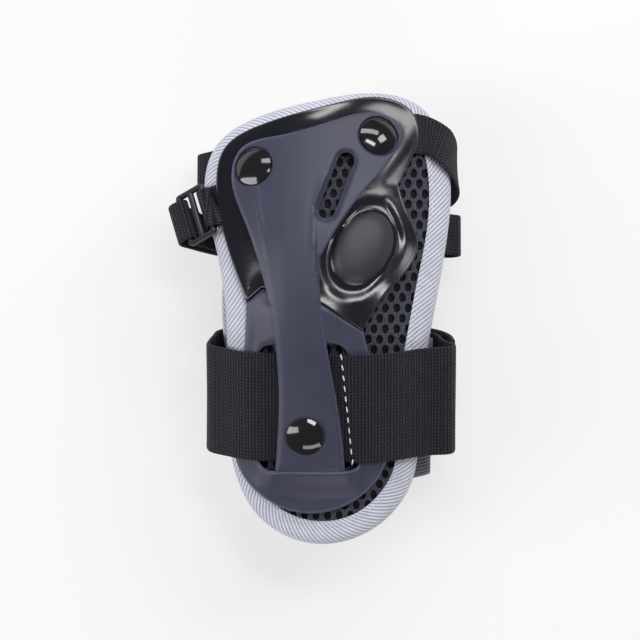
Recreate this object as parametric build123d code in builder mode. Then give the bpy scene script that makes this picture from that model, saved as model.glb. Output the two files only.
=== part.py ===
from build123d import *
import os
from math import asin, cos, radians, sin, sqrt, tan

# Wrist guard for skating: a padded sleeve with a palm skid plate, a wrist splint and two straps.
#
# The guard lies on its dorsal side with the palm side up. X runs across the hand towards the thumb,
# Y runs from the forearm to the fingers and Z points up. The origin is on the resting plane, below the
# middle of the guard. All sizes are in millimetres.
#
# Both sides of the sleeve are arched shells that are bent together at the wrist. A height h is always
# measured outward from the fabric surface of its own side.

# ---- Bend at the wrist ----
FOREARM_TILT = 14.0  # slope of the forearm half, degrees
HAND_TILT = 20.0  # slope of the hand half, degrees
WRIST_Y = 14.0
BEND_Z = -44.6  # height of the bend axis, which runs along X
PALM_RHO = 110.0  # distance from the bend axis to the palm fabric
DORSAL_RHO = 66.0  # distance from the bend axis to the dorsal fabric

# ---- Arches across the hand ----
ARCH_X = 4.0
PALM_ARCH = 62.0
DORSAL_ARCH = 90.0
REACH = 130.0  # how far the straight halves run before the outlines trim them
THROUGH = 140.0  # enough to cut through both sides

# ---- Layers of the padded panels, as heights from the fabric surface ----
COVER = (-0.9, 0.0)
FOAM = (-4.9, -1.0)
LINING = (-5.6, -5.0)
BINDING = (-6.5, 0.7)
BINDING_WIDTH = 8.5
BINDING_WALL = 1.0

# ---- Hard parts ----
SKID = (0.8, 3.2)
YOKE = (3.4, 5.5)
PLATE = (0.8, 2.9)
BAR_TOP = 6.4
TUNNEL_TOP = 2.7  # underside of the bar where the forearm strap passes
POCKET_TOP = 2.1  # roof of the pockets for the hand strap and the buckle tab
STAY = (0.9, 3.1)
STAY_FOOT = 5.6

# ---- Fasteners ----
RIVET_HEAD_R = 7.0
RIVET_SHANK_R = 2.3
RIVET_HOLE_R = 2.45
WASHER_R = 5.5
SMALL_HEAD_R = 5.0

# ---- Straps ----
FOREARM_WEB = 42.0
FOREARM_THICK = 1.6
HAND_WEB = 16.0
HAND_THICK = 1.2
PATCH_THICK = 0.8

# ---- Buckle, in its own plane: u away from the tab, v along its bars ----
BAR_PITCH = 5.6
BAR_WIDTH = 2.0
BUCKLE_INNER = 17.4
BUCKLE_SIDE = 1.8
BUCKLE_THICK = 2.2

TILT_F = radians(FOREARM_TILT)
TILT_H = radians(HAND_TILT)


# ---- The bent, arched surfaces ----
def bent_z(y, rho):
    """Height at y of the line that stays rho from the bend axis."""
    d = y - WRIST_Y
    if d < -rho * sin(TILT_F):
        return BEND_Z + rho / cos(TILT_F) + d * tan(TILT_F)
    if d > rho * sin(TILT_H):
        return BEND_Z + rho / cos(TILT_H) - d * tan(TILT_H)
    return BEND_Z + sqrt(rho * rho - d * d)


def palm_rho(x, h):
    return PALM_RHO - PALM_ARCH + sqrt((PALM_ARCH + h) ** 2 - (x - ARCH_X) ** 2)


def dorsal_rho(x, h):
    return DORSAL_RHO + DORSAL_ARCH - sqrt((DORSAL_ARCH + h) ** 2 - (x - ARCH_X) ** 2)


def palm_point(x, y, h):
    return Vector(x, y, bent_z(y, palm_rho(x, h)))


def dorsal_point(x, y, h):
    return Vector(x, y, bent_z(y, dorsal_rho(x, h)))


def bend_angle(y, rho):
    """Slope of the surface along the hand, in radians, positive towards the fingers."""
    return asin(max(-sin(TILT_F), min(sin(TILT_H), (y - WRIST_Y) / rho)))


def palm_plane(x, y, h):
    """Plane that touches the palm side at height h, with its normal outward."""
    across = asin((x - ARCH_X) / (PALM_ARCH + h))
    along = bend_angle(y, palm_rho(x, h))
    normal = Vector(sin(across), cos(across) * sin(along), cos(across) * cos(along))
    return Plane(origin=palm_point(x, y, h), x_dir=Vector(cos(across), 0, -sin(across)), z_dir=normal)


def dorsal_plane(x, y, h):
    across = asin((x - ARCH_X) / (DORSAL_ARCH + h))
    along = bend_angle(y, dorsal_rho(x, h))
    normal = Vector(sin(across), -cos(across) * sin(along), -cos(across) * cos(along))
    return Plane(origin=dorsal_point(x, y, h), x_dir=Vector(cos(across), 0, sin(across)), z_dir=normal)


def bend_plane(angle):
    """Plane through the bend axis: x is across the hand and y is the distance from the axis."""
    return Plane(
        origin=(0, WRIST_Y, BEND_Z), x_dir=(1, 0, 0), z_dir=(0, -cos(angle), sin(angle))
    )


def arch_sketch(angle, palm, low, high):
    """Cross-section of one layer of a side."""
    with BuildSketch(bend_plane(angle)) as section:
        if palm:
            centre, radius = PALM_RHO - PALM_ARCH, PALM_ARCH
        else:
            centre, radius = DORSAL_RHO + DORSAL_ARCH, DORSAL_ARCH
        with Locations((ARCH_X, centre)):
            Circle(radius + high)
            Circle(radius + low, mode=Mode.SUBTRACT)
        half = 58.0
        rows = (centre + 20, centre + radius + high + 1)
        if not palm:
            rows = (centre - radius - high - 1, centre - 20)
        with Locations((ARCH_X, sum(rows) / 2)):
            Rectangle(2 * half, rows[1] - rows[0], mode=Mode.INTERSECT)
    return section.sketch


def layer(palm, low, high):
    """One layer of a side, from end to end, before an outline trims it."""
    forearm = arch_sketch(-TILT_F, palm, low, high)
    hand = arch_sketch(TILT_H, palm, low, high)
    with BuildPart() as bent:
        extrude(forearm, amount=REACH)
        extrude(hand, amount=-REACH)
        revolve(
            forearm,
            axis=Axis((0, WRIST_Y, BEND_Z), (-1, 0, 0)),
            revolution_arc=FOREARM_TILT + HAND_TILT,
        )
    return bent.part


# ---- Outlines, seen from above ----
PANEL_POINTS = [
    (-41.8, 50), (-37.5, 65), (-22, 75.8), (2, 82.4), (22, 85), (40, 80), (49.2, 65),
    (49.8, 30), (44.5, 0), (39.5, -35), (36.5, -62), (24, -78), (0, -85), (-21.5, -74.5),
    (-31, -55), (-33.2, -8), (-37.2, 26),
]
DORSAL_POINTS = [
    (-33.5, 46), (-29, 62), (-14, 72.5), (6, 75.5), (24, 72), (34, 60), (36.5, 36),
    (36, 10), (36, -20), (34, -52), (20, -65.5), (0, -68), (-20, -62), (-28.5, -48),
    (-31.5, -28), (-35, -2), (-34.5, 24),
]


def panel_outline(points, inset=0.0):
    """Panel outline, moved inward by a constant inset."""
    loop = Spline(*points, periodic=True)
    count = 3 * len(points)
    rim = []
    for i in range(count):
        run = loop % (i / count)
        rim.append((loop @ (i / count)) + Vector(run.Y, -run.X) * inset)
    with BuildSketch() as outline:
        with BuildLine():
            Spline(*rim, periodic=True)
        make_face()
    return outline.sketch


def skid_outline():
    with BuildSketch() as outline:
        with BuildLine():
            Spline(
                (-25.9, 6.2), (-33.4, 28.5), (-37.2, 50), (-34.3, 64), (-20.5, 72.9), (6.8, 80.8),
                (26.5, 83.1), (36.9, 77.6), (39.2, 69.5), (36.3, 60), (31.3, 50.2),
            )
            Spline(
                (31.3, 50.2), (34.6, 40), (38.6, 27.5), (36, 20), (28.3, 11.3), (17.9, -4.5),
            )
            Polyline((17.9, -4.5), (2.5, 5.5), (-19.8, 11.6), (-25.9, 6.2))
        make_face()
    return outline.sketch


def yoke_outline():
    """The splint's upper end, which rests on the skid plate."""
    with BuildSketch() as outline:
        with BuildLine():
            Spline(
                (-16.9, 4.8), (-21.2, 21.3), (-27, 37.8), (-31.4, 54), (-27.8, 64),
                (-14.7, 68.6), (6.8, 74.4), (24, 77.1), (32.3, 72.2), (30.5, 62.9),
                (19.7, 49.3), (8.2, 33.6), (1.4, 22),
            )
            Spline((1.4, 22), (1.7, 14), (2.3, 4.8))
            Line((2.3, 4.8), (-16.9, 4.8))
        make_face()
    return outline.sketch


def bar_outline():
    """The raised bar that bridges the forearm strap."""
    with BuildSketch() as outline:
        with BuildLine():
            Spline((-22.5, 42), (-19.8, 26), (-16.9, 4.8), (-14.3, -15), (-14, -43), (-15.4, -62))
            Line((-15.4, -62), (11.6, -62))
            Spline((11.6, -62), (9.6, -40), (5.6, -17), (2.3, 4.8), (1.4, 22), (1.8, 42))
            Line((1.8, 42), (-22.5, 42))
        make_face()
    return outline.sketch


def plate_outline():
    """The splint's lower plate, with the opening for the forearm strap."""
    with BuildSketch() as outline:
        with BuildLine():
            Spline(
                (-25.7, 5.7), (-26.6, -12), (-29.6, -35), (-29.6, -54), (-21.9, -65.5),
                (-1.9, -73.4), (17.5, -66.8), (27, -53), (24.5, -30), (18.1, -4.6),
            )
            Polyline((18.1, -4.6), (2.5, 5.1), (-19.7, 11.2), (-25.7, 5.7))
        make_face()
        with BuildLine():
            Polyline(
                (3, -6), (-14, -6), (-19, -7), (-21.5, -11), (-21.5, -54), (-18, -58),
                (13, -58), (17, -54.5), (12, -10), (9, -7), (3, -6),
            )
        make_face(mode=Mode.SUBTRACT)
    return outline.sketch


# ---- Shapes that follow a line in a section plane ----
def section_line(points):
    return Spline(*points)


def strip_outline(plane, line, low, high, start=0.0, end=1.0, count=40):
    """Closed outline between two heights beside a line, from one fraction of it to another."""
    sides = []
    for height in (low, high):
        row = []
        for i in range(count + 1):
            place = start + (end - start) * i / count
            run = line % place
            row.append((line @ place) + Vector(-run.Y, run.X) * height)
        sides.append(row)
    low_row, high_row = sides
    with BuildSketch(plane) as outline:
        with BuildLine():
            Spline(*low_row)
            Line(low_row[-1], high_row[-1])
            Spline(*reversed(high_row))
            Line(high_row[0], low_row[0])
        make_face()
    return outline.sketch


def ribbon_sections(stations, width, thick):
    """Cross-sections of webbing through stations of (centre, outward normal)."""
    centres = [Vector(centre) for centre, _ in stations]
    sections = []
    for i, (_, normal) in enumerate(stations):
        ahead = centres[min(i + 1, len(centres) - 1)]
        behind = centres[max(i - 1, 0)]
        run = (ahead - behind).normalized()
        side = run.cross(Vector(normal)).normalized()
        with BuildSketch(Plane(origin=centres[i], x_dir=side, z_dir=run)) as section:
            Rectangle(width, thick)
        sections.append(section.sketch)
    return sections


def on_palm(x, y, h):
    return palm_point(x, y, h), palm_plane(x, y, h).z_dir


def on_dorsal(x, y, h):
    return dorsal_point(x, y, h), dorsal_plane(x, y, h).z_dir


def save(piece, label):
    piece.part.label = label
    export_step(piece.part, f"parts/{label}.step")
    print(f"{label:24s} {piece.part.volume:9.1f} mm3")


os.makedirs("parts", exist_ok=True)

# ---- Places of the rivets ----
def below_head(x, y, height):
    """Plane on the fabric below a rivet head that is centred at (x, y) and at this height."""
    return palm_plane(x, y, height).offset(-height)


UPPER_RIVETS = [below_head(-23.3, 57.1, 5.5), below_head(24.0, 68.6, 5.5)]
LOWER_RIVET = below_head(-3.7, -44.5, 7.0)
STAY_RIVETS = [dorsal_plane(ARCH_X, 58, 0), dorsal_plane(ARCH_X, -50, 0)]


def cylinders(planes, radius, low, high):
    """One cylinder on each plane, from one height to another."""
    with BuildPart() as group:
        for plane in planes:
            with BuildSketch(plane.offset(low)):
                Circle(radius)
            extrude(amount=high - low)
    return group.part


palm_holes = cylinders([*UPPER_RIVETS, LOWER_RIVET], RIVET_HOLE_R, -3.2, 12)
palm_pockets = cylinders([*UPPER_RIVETS, LOWER_RIVET], WASHER_R + 0.5, -3.6, 0)
stay_holes = cylinders(STAY_RIVETS, RIVET_HOLE_R, -3.2, 12)
stay_pockets = cylinders(STAY_RIVETS, WASHER_R + 0.5, -3.6, 0)

# ---- Padded panels: mesh cover, foam, lining and the binding round their edge ----
PANEL_EDGE = BINDING_WALL + 0.15
NO_HOLES = []
for side, palm, points, holes, pockets in (
    ("palm", True, PANEL_POINTS, palm_holes, palm_pockets),
    ("dorsal", False, DORSAL_POINTS, stay_holes, stay_pockets),
):
    inner_outline = panel_outline(points, PANEL_EDGE)
    for name, heights, cuts in (
        ("mesh_cover", COVER, [holes]),
        ("foam_pad", FOAM, [pockets]),
        ("lining", LINING, NO_HOLES),
    ):
        sheet = layer(palm, *heights)
        with BuildPart() as panel_layer:
            add(sheet)
            extrude(inner_outline, amount=THROUGH, both=True, mode=Mode.INTERSECT)
            for cut in cuts:
                add(cut, mode=Mode.SUBTRACT)
        save(panel_layer, f"{side}_{name}")

    with BuildPart() as channel:
        add(layer(palm, LINING[0] - 0.1, COVER[1] + 0.1))
        extrude(panel_outline(points, BINDING_WALL), amount=THROUGH, both=True, mode=Mode.INTERSECT)
    whole_band = layer(palm, *BINDING)
    with BuildPart() as edge_binding:
        add(whole_band)
        extrude(panel_outline(points), amount=THROUGH, both=True, mode=Mode.INTERSECT)
        extrude(panel_outline(points, BINDING_WIDTH), amount=THROUGH, both=True, mode=Mode.SUBTRACT)
        add(channel.part, mode=Mode.SUBTRACT)
    save(edge_binding, f"{side}_edge_binding")

# ---- Skid plate ----
SLOT_PLACE = (8.3, 50.0)
SLOT_TURN = 68.5
BUMP_PLACE = (17.9, 26.3)
BUMP_TURN = 62.0
BUMP_HALF = 13.5
BUMP_RISE = 2.2
skid_layer = layer(True, *SKID)
pocket_layer = layer(True, SKID[0] - 1, POCKET_TOP)
with BuildPart() as pockets:
    add(pocket_layer)
    with BuildSketch() as pocket_outline:
        with Locations(Location((-33, 43.5), 20)):
            Rectangle(18, 22)
        with Locations((28, 69.6)):
            Rectangle(34, 19)
    extrude(pocket_outline.sketch, amount=THROUGH, both=True, mode=Mode.INTERSECT)

bump_plane = palm_plane(*BUMP_PLACE, SKID[1])
bump_radius = (BUMP_HALF**2 + BUMP_RISE**2) / (2 * BUMP_RISE)
with BuildPart() as bump:
    with BuildSketch(bump_plane.offset(-1.2)):
        Ellipse(BUMP_HALF, 9.5, rotation=BUMP_TURN)
    extrude(amount=BUMP_RISE + 3)
    with Locations(bump_plane.offset(BUMP_RISE - bump_radius).origin):
        Sphere(bump_radius, mode=Mode.INTERSECT)

with BuildPart() as skid_plate:
    add(skid_layer)
    extrude(skid_outline(), amount=THROUGH, both=True, mode=Mode.INTERSECT)
    add(pockets.part, mode=Mode.SUBTRACT)
    add(palm_holes, mode=Mode.SUBTRACT)
    add(bump.part)
    with BuildSketch(Plane.XY):
        with Locations(SLOT_PLACE):
            SlotOverall(29, 9.2, rotation=SLOT_TURN)
    extrude(amount=THROUGH, both=True, mode=Mode.SUBTRACT)
save(skid_plate, "skid_plate")

# ---- Palm splint: yoke, raised bar and lower plate in one moulding ----
yoke_layer = layer(True, *YOKE)
bar_layer = layer(True, YOKE[0], BAR_TOP)
root_layer = layer(True, TUNNEL_TOP, YOKE[0] + 0.1)
plate_layer = layer(True, *PLATE)
with BuildPart() as yoke:
    add(yoke_layer)
    extrude(yoke_outline(), amount=THROUGH, both=True, mode=Mode.INTERSECT)
with BuildPart() as bar:
    add(bar_layer)
    extrude(bar_outline(), amount=THROUGH, both=True, mode=Mode.INTERSECT)
with BuildPart() as bar_root:
    add(root_layer)
    extrude(bar_outline(), amount=THROUGH, both=True, mode=Mode.INTERSECT)
    with BuildSketch():
        with Locations((-3, -35)):
            Rectangle(80, 80)
        with BuildLine():
            Polyline((40, 5), (2.5, 5), (-19.8, 11.1), (-40, 5), (-40, 40), (40, 40), (40, 5))
        make_face(mode=Mode.SUBTRACT)
    extrude(amount=THROUGH, both=True, mode=Mode.INTERSECT)
HEAD_SEAT = 4.2
LOWER_SEAT = 5.9
head_recesses = cylinders(UPPER_RIVETS, RIVET_HEAD_R + 0.4, HEAD_SEAT, 12)
lower_recess = cylinders([LOWER_RIVET], RIVET_HEAD_R + 0.4, LOWER_SEAT, 12)
with BuildPart() as palm_splint:
    add(plate_layer)
    extrude(plate_outline(), amount=THROUGH, both=True, mode=Mode.INTERSECT)
    add(bar_root.part)
    add(bar.part)
    add(yoke.part)
    with BuildSketch(Plane.XY):
        with Locations(SLOT_PLACE):
            SlotOverall(27, 7.6, rotation=SLOT_TURN)
    extrude(amount=THROUGH, both=True, mode=Mode.SUBTRACT)
    add(palm_holes, mode=Mode.SUBTRACT)
    add(head_recesses, mode=Mode.SUBTRACT)
    add(lower_recess, mode=Mode.SUBTRACT)
save(palm_splint, "palm_splint")

# ---- Dorsal splint: a spring stay with a foot at each end ----
STAY_WIDTH = 30.0
STAY_ENDS = (-62.0, 71.5)
FOOT_STARTS = (-54.6, 62.6)
stay_layer = layer(False, *STAY)
foot_layer = layer(False, STAY[1] - 0.1, STAY_FOOT)
with BuildPart() as feet:
    add(foot_layer)
    with BuildSketch():
        for edge, start in zip(STAY_ENDS, FOOT_STARTS):
            with Locations((ARCH_X, (edge + start) / 2)):
                Rectangle(STAY_WIDTH - 4, abs(edge - start))
    extrude(amount=THROUGH, both=True, mode=Mode.INTERSECT)
with BuildPart() as dorsal_splint:
    add(stay_layer)
    with BuildSketch():
        with Locations((ARCH_X, sum(STAY_ENDS) / 2)):
            RectangleRounded(STAY_WIDTH, STAY_ENDS[1] - STAY_ENDS[0], 2)
    extrude(amount=THROUGH, both=True, mode=Mode.INTERSECT)
    add(feet.part)
    add(stay_holes, mode=Mode.SUBTRACT)
    with Locations((ARCH_X, 0, -20)):
        Box(200, 200, 40, mode=Mode.SUBTRACT)
save(dorsal_splint, "dorsal_splint")


# ---- Rivets and their washers ----
def rivet(seat, head_r, dome):
    """One domed rivet along +Z, with its tail upset below the washer."""
    tail_r = RIVET_SHANK_R + 0.9
    edge = seat + 0.6
    with BuildPart() as one:
        with BuildSketch(Plane.XZ):
            with BuildLine():
                Polyline(
                    (0, edge + dome), (0, -3.1), (tail_r, -3.1), (tail_r, -2.5),
                    (RIVET_SHANK_R, -2.5), (RIVET_SHANK_R, seat), (head_r, seat), (head_r, edge),
                )
                RadiusArc((head_r, edge), (0, edge + dome), -(head_r**2 + dome**2) / (2 * dome))
            make_face()
        revolve(axis=Axis.Z)
    return one.part


upper_rivet = rivet(HEAD_SEAT + 0.05, RIVET_HEAD_R, 1.7)
with BuildPart() as rivets:
    with Locations(*[plane.location for plane in UPPER_RIVETS]):
        add(upper_rivet)
    with Locations(LOWER_RIVET.location):
        add(rivet(LOWER_SEAT + 0.05, RIVET_HEAD_R, 2.0))
save(rivets, "rivets")

stay_rivet = rivet(STAY[1] + 0.15, SMALL_HEAD_R, 0.8)
with BuildPart() as dorsal_rivets:
    with Locations(*[plane.location for plane in STAY_RIVETS]):
        add(stay_rivet)
save(dorsal_rivets, "dorsal_rivets")

for label, planes in (
    ("rivet_washers", [*UPPER_RIVETS, LOWER_RIVET]),
    ("dorsal_rivet_washers", STAY_RIVETS),
):
    with BuildPart() as washers:
        add(cylinders(planes, WASHER_R, -2.4, -1.4))
        add(cylinders(planes, RIVET_HOLE_R, -3, 0), mode=Mode.SUBTRACT)
    save(washers, label)

# ---- Stretch gussets, which close the sleeve between the two panels ----
INSIDE = -7.5  # height of the seam lines, inside the sleeve
GUSSET_THICK = 1.2


def inner_wall(top_x, middle_x, bottom_x):
    """Wall that stands between the linings of the two panels."""
    top, bottom = palm_rho(top_x, INSIDE), dorsal_rho(bottom_x, INSIDE)
    return section_line([(top_x, top), (middle_x, (top + bottom) / 2), (bottom_x, bottom)])


def bulged_wall(palm_edge, bulge_x, dorsal_edge):
    """Wall from below the palm binding round to the rim of the dorsal binding."""
    corner = palm_rho(palm_edge, INSIDE - 0.9)
    foot_x = dorsal_edge + 1.2
    foot = dorsal_rho(foot_x, -3.5)
    return section_line([
        (palm_edge - 5, palm_rho(palm_edge - 5, INSIDE)), (palm_edge, corner),
        (bulge_x, (corner + foot) / 2), (foot_x, foot),
    ])


def wall_sections(stations):
    half = GUSSET_THICK / 2
    return [strip_outline(plane, line, -half, half, count=12) for plane, line in stations]


little_finger_sections = wall_sections([
    (bend_plane(-TILT_F).offset(54), inner_wall(-24.8, -24.6, -20.0)),
    (bend_plane(-TILT_F), inner_wall(-29.0, -31.3, -30.3)),
    (bend_plane(radians(-4)), inner_wall(-30.3, -31.8, -30.2)),
    (bend_plane(radians(8)), inner_wall(-31.6, -32.3, -29.9)),
    (bend_plane(TILT_H), inner_wall(-32.3, -32.6, -29.2)),
])
with BuildPart() as little_finger_gusset:
    loft(little_finger_sections, ruled=True)
save(little_finger_gusset, "little_finger_gusset")

thumb_side_sections = wall_sections([
    (bend_plane(-TILT_F).offset(54), bulged_wall(36.8, 43.2, 35.2)),
    (bend_plane(-TILT_F).offset(2), bulged_wall(43.3, 43.9, 37.4)),
])
with BuildPart() as thumb_side_gusset:
    loft(thumb_side_sections, ruled=True)
save(thumb_side_gusset, "thumb_side_gusset")

# ---- Elastic side loops that join the panels at the hand ----
thumb_line = section_line([
    (43.0, palm_rho(43.0, INSIDE)), (47.6, palm_rho(47.6, INSIDE - 0.8)), (51.8, 75.8),
    (54.7, 74.0), (52.6, 72.1), (46, 73.0), (38.3, 75.4),
])
thumb_outline = strip_outline(
    bend_plane(radians(13.5)).offset(-HAND_WEB / 2), thumb_line, -HAND_THICK / 2, HAND_THICK / 2
)
with BuildPart() as thumb_strap:
    extrude(thumb_outline, amount=HAND_WEB)
save(thumb_strap, "thumb_strap")

little_finger_line = section_line([
    (-35.0, palm_rho(-35.0, INSIDE)), (-38.8, palm_rho(-38.8, INSIDE - 0.8)), (-42.4, 78.0),
    (-44.1, 75.9), (-42.2, 74.1), (-38.6, 74.2), (-35.4, 75.6),
])
little_finger_outline = strip_outline(
    bend_plane(TILT_H).offset(-23.5), little_finger_line, -HAND_THICK / 2, HAND_THICK / 2
)
with BuildPart() as little_finger_strap:
    extrude(little_finger_outline, amount=HAND_WEB)
save(little_finger_strap, "little_finger_strap")


# ---- Forearm strap, in the section plane of the forearm half ----
def forearm_line(shift):
    """Middle of the strap: inner end, thumb side, under the bar, little-finger side, dorsal."""
    return section_line([
        (22.5, dorsal_rho(22.5, 2.1)), (32, dorsal_rho(32, 2.2)), (40.6, 72.6), (45.2, 78.0),
        (47.3, 84.0), (48.8, 89.0), (52.2, 94.6), (51.2, 98.7), (46.5, 100.4),
        (40, palm_rho(40, 3.2)), (31, palm_rho(31, 3.7)), (24, palm_rho(24, 4.0)),
        (16.5 + shift, palm_rho(16.5 + shift, 4.1)), (12.4 + shift, palm_rho(12.4 + shift, 4.0)),
        (9 + shift, palm_rho(9 + shift, 2.7)), (5.4 + shift, palm_rho(5.4 + shift, 1.4)),
        (2 + shift / 2, palm_rho(2 + shift / 2, 1.3)),
        (-4, palm_rho(-4, 1.3)), (-9.5, palm_rho(-9.5, 1.3)), (-13.5, palm_rho(-13.5, 1.4)),
        (-18, palm_rho(-18, 2.7)), (-23, palm_rho(-23, 4.0)), (-30.4, palm_rho(-30.4, 4.0)),
        (-35.4, 100.1), (-39.0, 96.8), (-40.1, 92.6), (-39.2, 86.0), (-37.8, 79.0),
        (-35.6, 72.6), (-30, dorsal_rho(-30, 2.6)), (-20, dorsal_rho(-20, 3.6)),
        (-10, dorsal_rho(-10, 4.2)), (4, dorsal_rho(4, 4.2)), (18, dorsal_rho(18, 4.3)),
        (28, dorsal_rho(28, 4.7)), (37, dorsal_rho(37, 5.0)), (44.4, 71.3), (48.2, 75.2),
    ])


FLAP_LINE = section_line([(48.4, 75.5), (50.4, 79.4), (51.6, 83.6), (52.1, 88.0)])
STRAP_START = 0.5  # how far the strap's upper edge lies from the bend, along the forearm
forearm_plane = bend_plane(-TILT_F).offset(STRAP_START)
half_web = FOREARM_THICK / 2
upper_line, lower_line = forearm_line(0.0), forearm_line(4.6)
strap_sections = [
    strip_outline(forearm_plane, upper_line, -half_web, half_web, count=110),
    strip_outline(forearm_plane.offset(FOREARM_WEB), lower_line, -half_web, half_web, count=110),
]
with BuildPart() as forearm_strap:
    loft(strap_sections, ruled=True)
    add(palm_holes, mode=Mode.SUBTRACT)
save(forearm_strap, "forearm_strap")

flap_outline = strip_outline(forearm_plane, FLAP_LINE, -half_web, half_web, start=0.02, count=16)
with BuildPart() as forearm_strap_flap:
    extrude(flap_outline, amount=FOREARM_WEB)
save(forearm_strap_flap, "forearm_strap_flap")

PATCH_INSET = 3.0
patch_plane = forearm_plane.offset(PATCH_INSET)
PATCH_NEAR = half_web + 0.2
PATCH_FAR = PATCH_NEAR + PATCH_THICK
loop_line = section_line([(45.2, 78.0), (46.4, 81.0), (47.3, 84.0), (48.0, 86.4)])
loop_outline = strip_outline(patch_plane, loop_line, -PATCH_FAR, -PATCH_NEAR, count=12)
with BuildPart() as forearm_loop_patch:
    extrude(loop_outline, amount=FOREARM_WEB - 2 * PATCH_INSET)
save(forearm_loop_patch, "forearm_loop_patch")

hook_outline = strip_outline(
    patch_plane, FLAP_LINE, PATCH_NEAR, PATCH_FAR, start=0.25, end=0.9, count=12
)
with BuildPart() as forearm_hook_patch:
    extrude(hook_outline, amount=FOREARM_WEB - 2 * PATCH_INSET)
save(forearm_hook_patch, "forearm_hook_patch")

# ---- Buckle and its tab; u runs away from the tab, v along the bars, n outward ----
TAB_BAR = palm_point(-40.4, 41.4, 4.8)
U_DIR = Vector(-0.76, -0.43, -0.49).normalized()
V_HINT = Vector(-0.33, 0.85, -0.41)
V_DIR = (V_HINT - U_DIR * V_HINT.dot(U_DIR)).normalized()
N_DIR = V_DIR.cross(U_DIR)
OUTER_BAR = 2 * BAR_PITCH
buckle_plane = Plane(origin=TAB_BAR, x_dir=U_DIR, z_dir=N_DIR)
strap_plane = Plane(origin=TAB_BAR, x_dir=U_DIR, z_dir=V_DIR)  # local x is u and local y is n


def at_buckle(u, n):
    return TAB_BAR + U_DIR * u + N_DIR * n


with BuildPart() as strap_buckle:
    with BuildSketch(buckle_plane.offset(-BUCKLE_THICK / 2)):
        with Locations((BAR_PITCH, 0)):
            RectangleRounded(OUTER_BAR + BAR_WIDTH, BUCKLE_INNER + 2 * BUCKLE_SIDE, 1.6)
        with Locations((BAR_PITCH / 2, 0), (BAR_PITCH * 1.5, 0)):
            Rectangle(BAR_PITCH - BAR_WIDTH, BUCKLE_INNER, mode=Mode.SUBTRACT)
    extrude(amount=BUCKLE_THICK)
    broad_faces = strap_buckle.faces().sort_by(Axis(TAB_BAR, N_DIR))
    chamfer(broad_faces[0].edges() + broad_faces[-1].edges(), 0.4)
save(strap_buckle, "strap_buckle")

TAB_THICK = 1.0
TAB_WIDTH = 15.4
TAB_BORE_R = 1.6
tab_sections = ribbon_sections(
    [
        on_palm(-28.6, 46.2, 1.4), on_palm(-33.0, 44.6, 1.4), on_palm(-38.1, 42.4, 1.4),
        (at_buckle(-0.3, -TAB_BORE_R - TAB_THICK / 2), N_DIR),
    ],
    TAB_WIDTH,
    TAB_THICK,
)
with BuildPart() as buckle_tab:
    loft(tab_sections, ruled=True)
    with BuildSketch(strap_plane):
        Circle(TAB_BORE_R + TAB_THICK)
    extrude(amount=TAB_WIDTH / 2, both=True)
    with BuildSketch(strap_plane):
        Circle(TAB_BORE_R)
    extrude(amount=TAB_WIDTH, both=True, mode=Mode.SUBTRACT)
save(buckle_tab, "buckle_tab")

# ---- Hand strap: from the upper right rivet, round the back of the hand, to the buckle ----
WALL_U = 13.3  # how far beyond the tab bar the strap rises beside the hand
half_hand = HAND_THICK / 2
hand_sections = ribbon_sections(
    [
        on_palm(18.5, 68.8, 1.45), on_palm(23.4, 69.1, 1.45), on_palm(28.4, 69.4, 1.45),
        on_palm(33.5, 69.5, 1.45), on_palm(38.6, 69.6, 1.45),
        on_palm(44.0, 68.2, 2.2), on_palm(48.8, 65.2, 3.2),
        ((52.0, 61.2, 34.0), (0.9, 0.1, 0.35)), ((53.3, 57.2, 29.0), (1, 0, 0)),
        ((52.7, 53.2, 23.6), (0.85, -0.1, -0.5)), ((49.0, 49.2, 19.6), (0.5, -0.2, -0.8)),
        on_dorsal(42.0, 45.4, 3.4), on_dorsal(34.0, 42.0, 2.9), on_dorsal(22.0, 38.8, 4.7),
        on_dorsal(13.0, 37.4, 5.0), on_dorsal(4.0, 36.6, 5.0), on_dorsal(-5.0, 36.0, 5.0),
        on_dorsal(-13.0, 35.7, 4.7), on_dorsal(-24.0, 35.4, 3.4),
        on_dorsal(-32.0, 35.4, 2.5), ((-37.0, 35.7, 25.2), (-0.72, 0.0, -0.66)),
        (at_buckle(WALL_U, -19), U_DIR), (at_buckle(WALL_U, -12), U_DIR),
        (at_buckle(WALL_U, -6), U_DIR),
    ],
    HAND_WEB,
    HAND_THICK,
)
with BuildPart() as hand_strap:
    for near, far in zip(hand_sections, hand_sections[1:]):
        loft([near, far], ruled=True)
    add(palm_holes, mode=Mode.SUBTRACT)
save(hand_strap, "hand_strap")

loop_turn = section_line([
    (WALL_U, -5.6), (12.8, -3.3), (OUTER_BAR, -1.95), (9.3, -1.3), (8.8, 0), (9.3, 1.3),
    (OUTER_BAR, 1.95), (13.2, 2.1), (15.4, 1.2), (16.4, -0.8), (16.5, -3.0),
])
loop_profile = strip_outline(
    strap_plane.offset(-HAND_WEB / 2), loop_turn, -half_hand, half_hand, count=30
)
with BuildPart() as hand_strap_loop:
    extrude(loop_profile, amount=HAND_WEB)
save(hand_strap_loop, "hand_strap_loop")

tail_line = section_line([(16.5, -3.4), (16.6, -10), (16.6, -17), (16.4, -23)])
tail_profile = strip_outline(
    strap_plane.offset(-HAND_WEB / 2), tail_line, -half_hand, half_hand, count=12
)
with BuildPart() as hand_strap_tail:
    extrude(tail_profile, amount=HAND_WEB)
save(hand_strap_tail, "hand_strap_tail")

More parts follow.
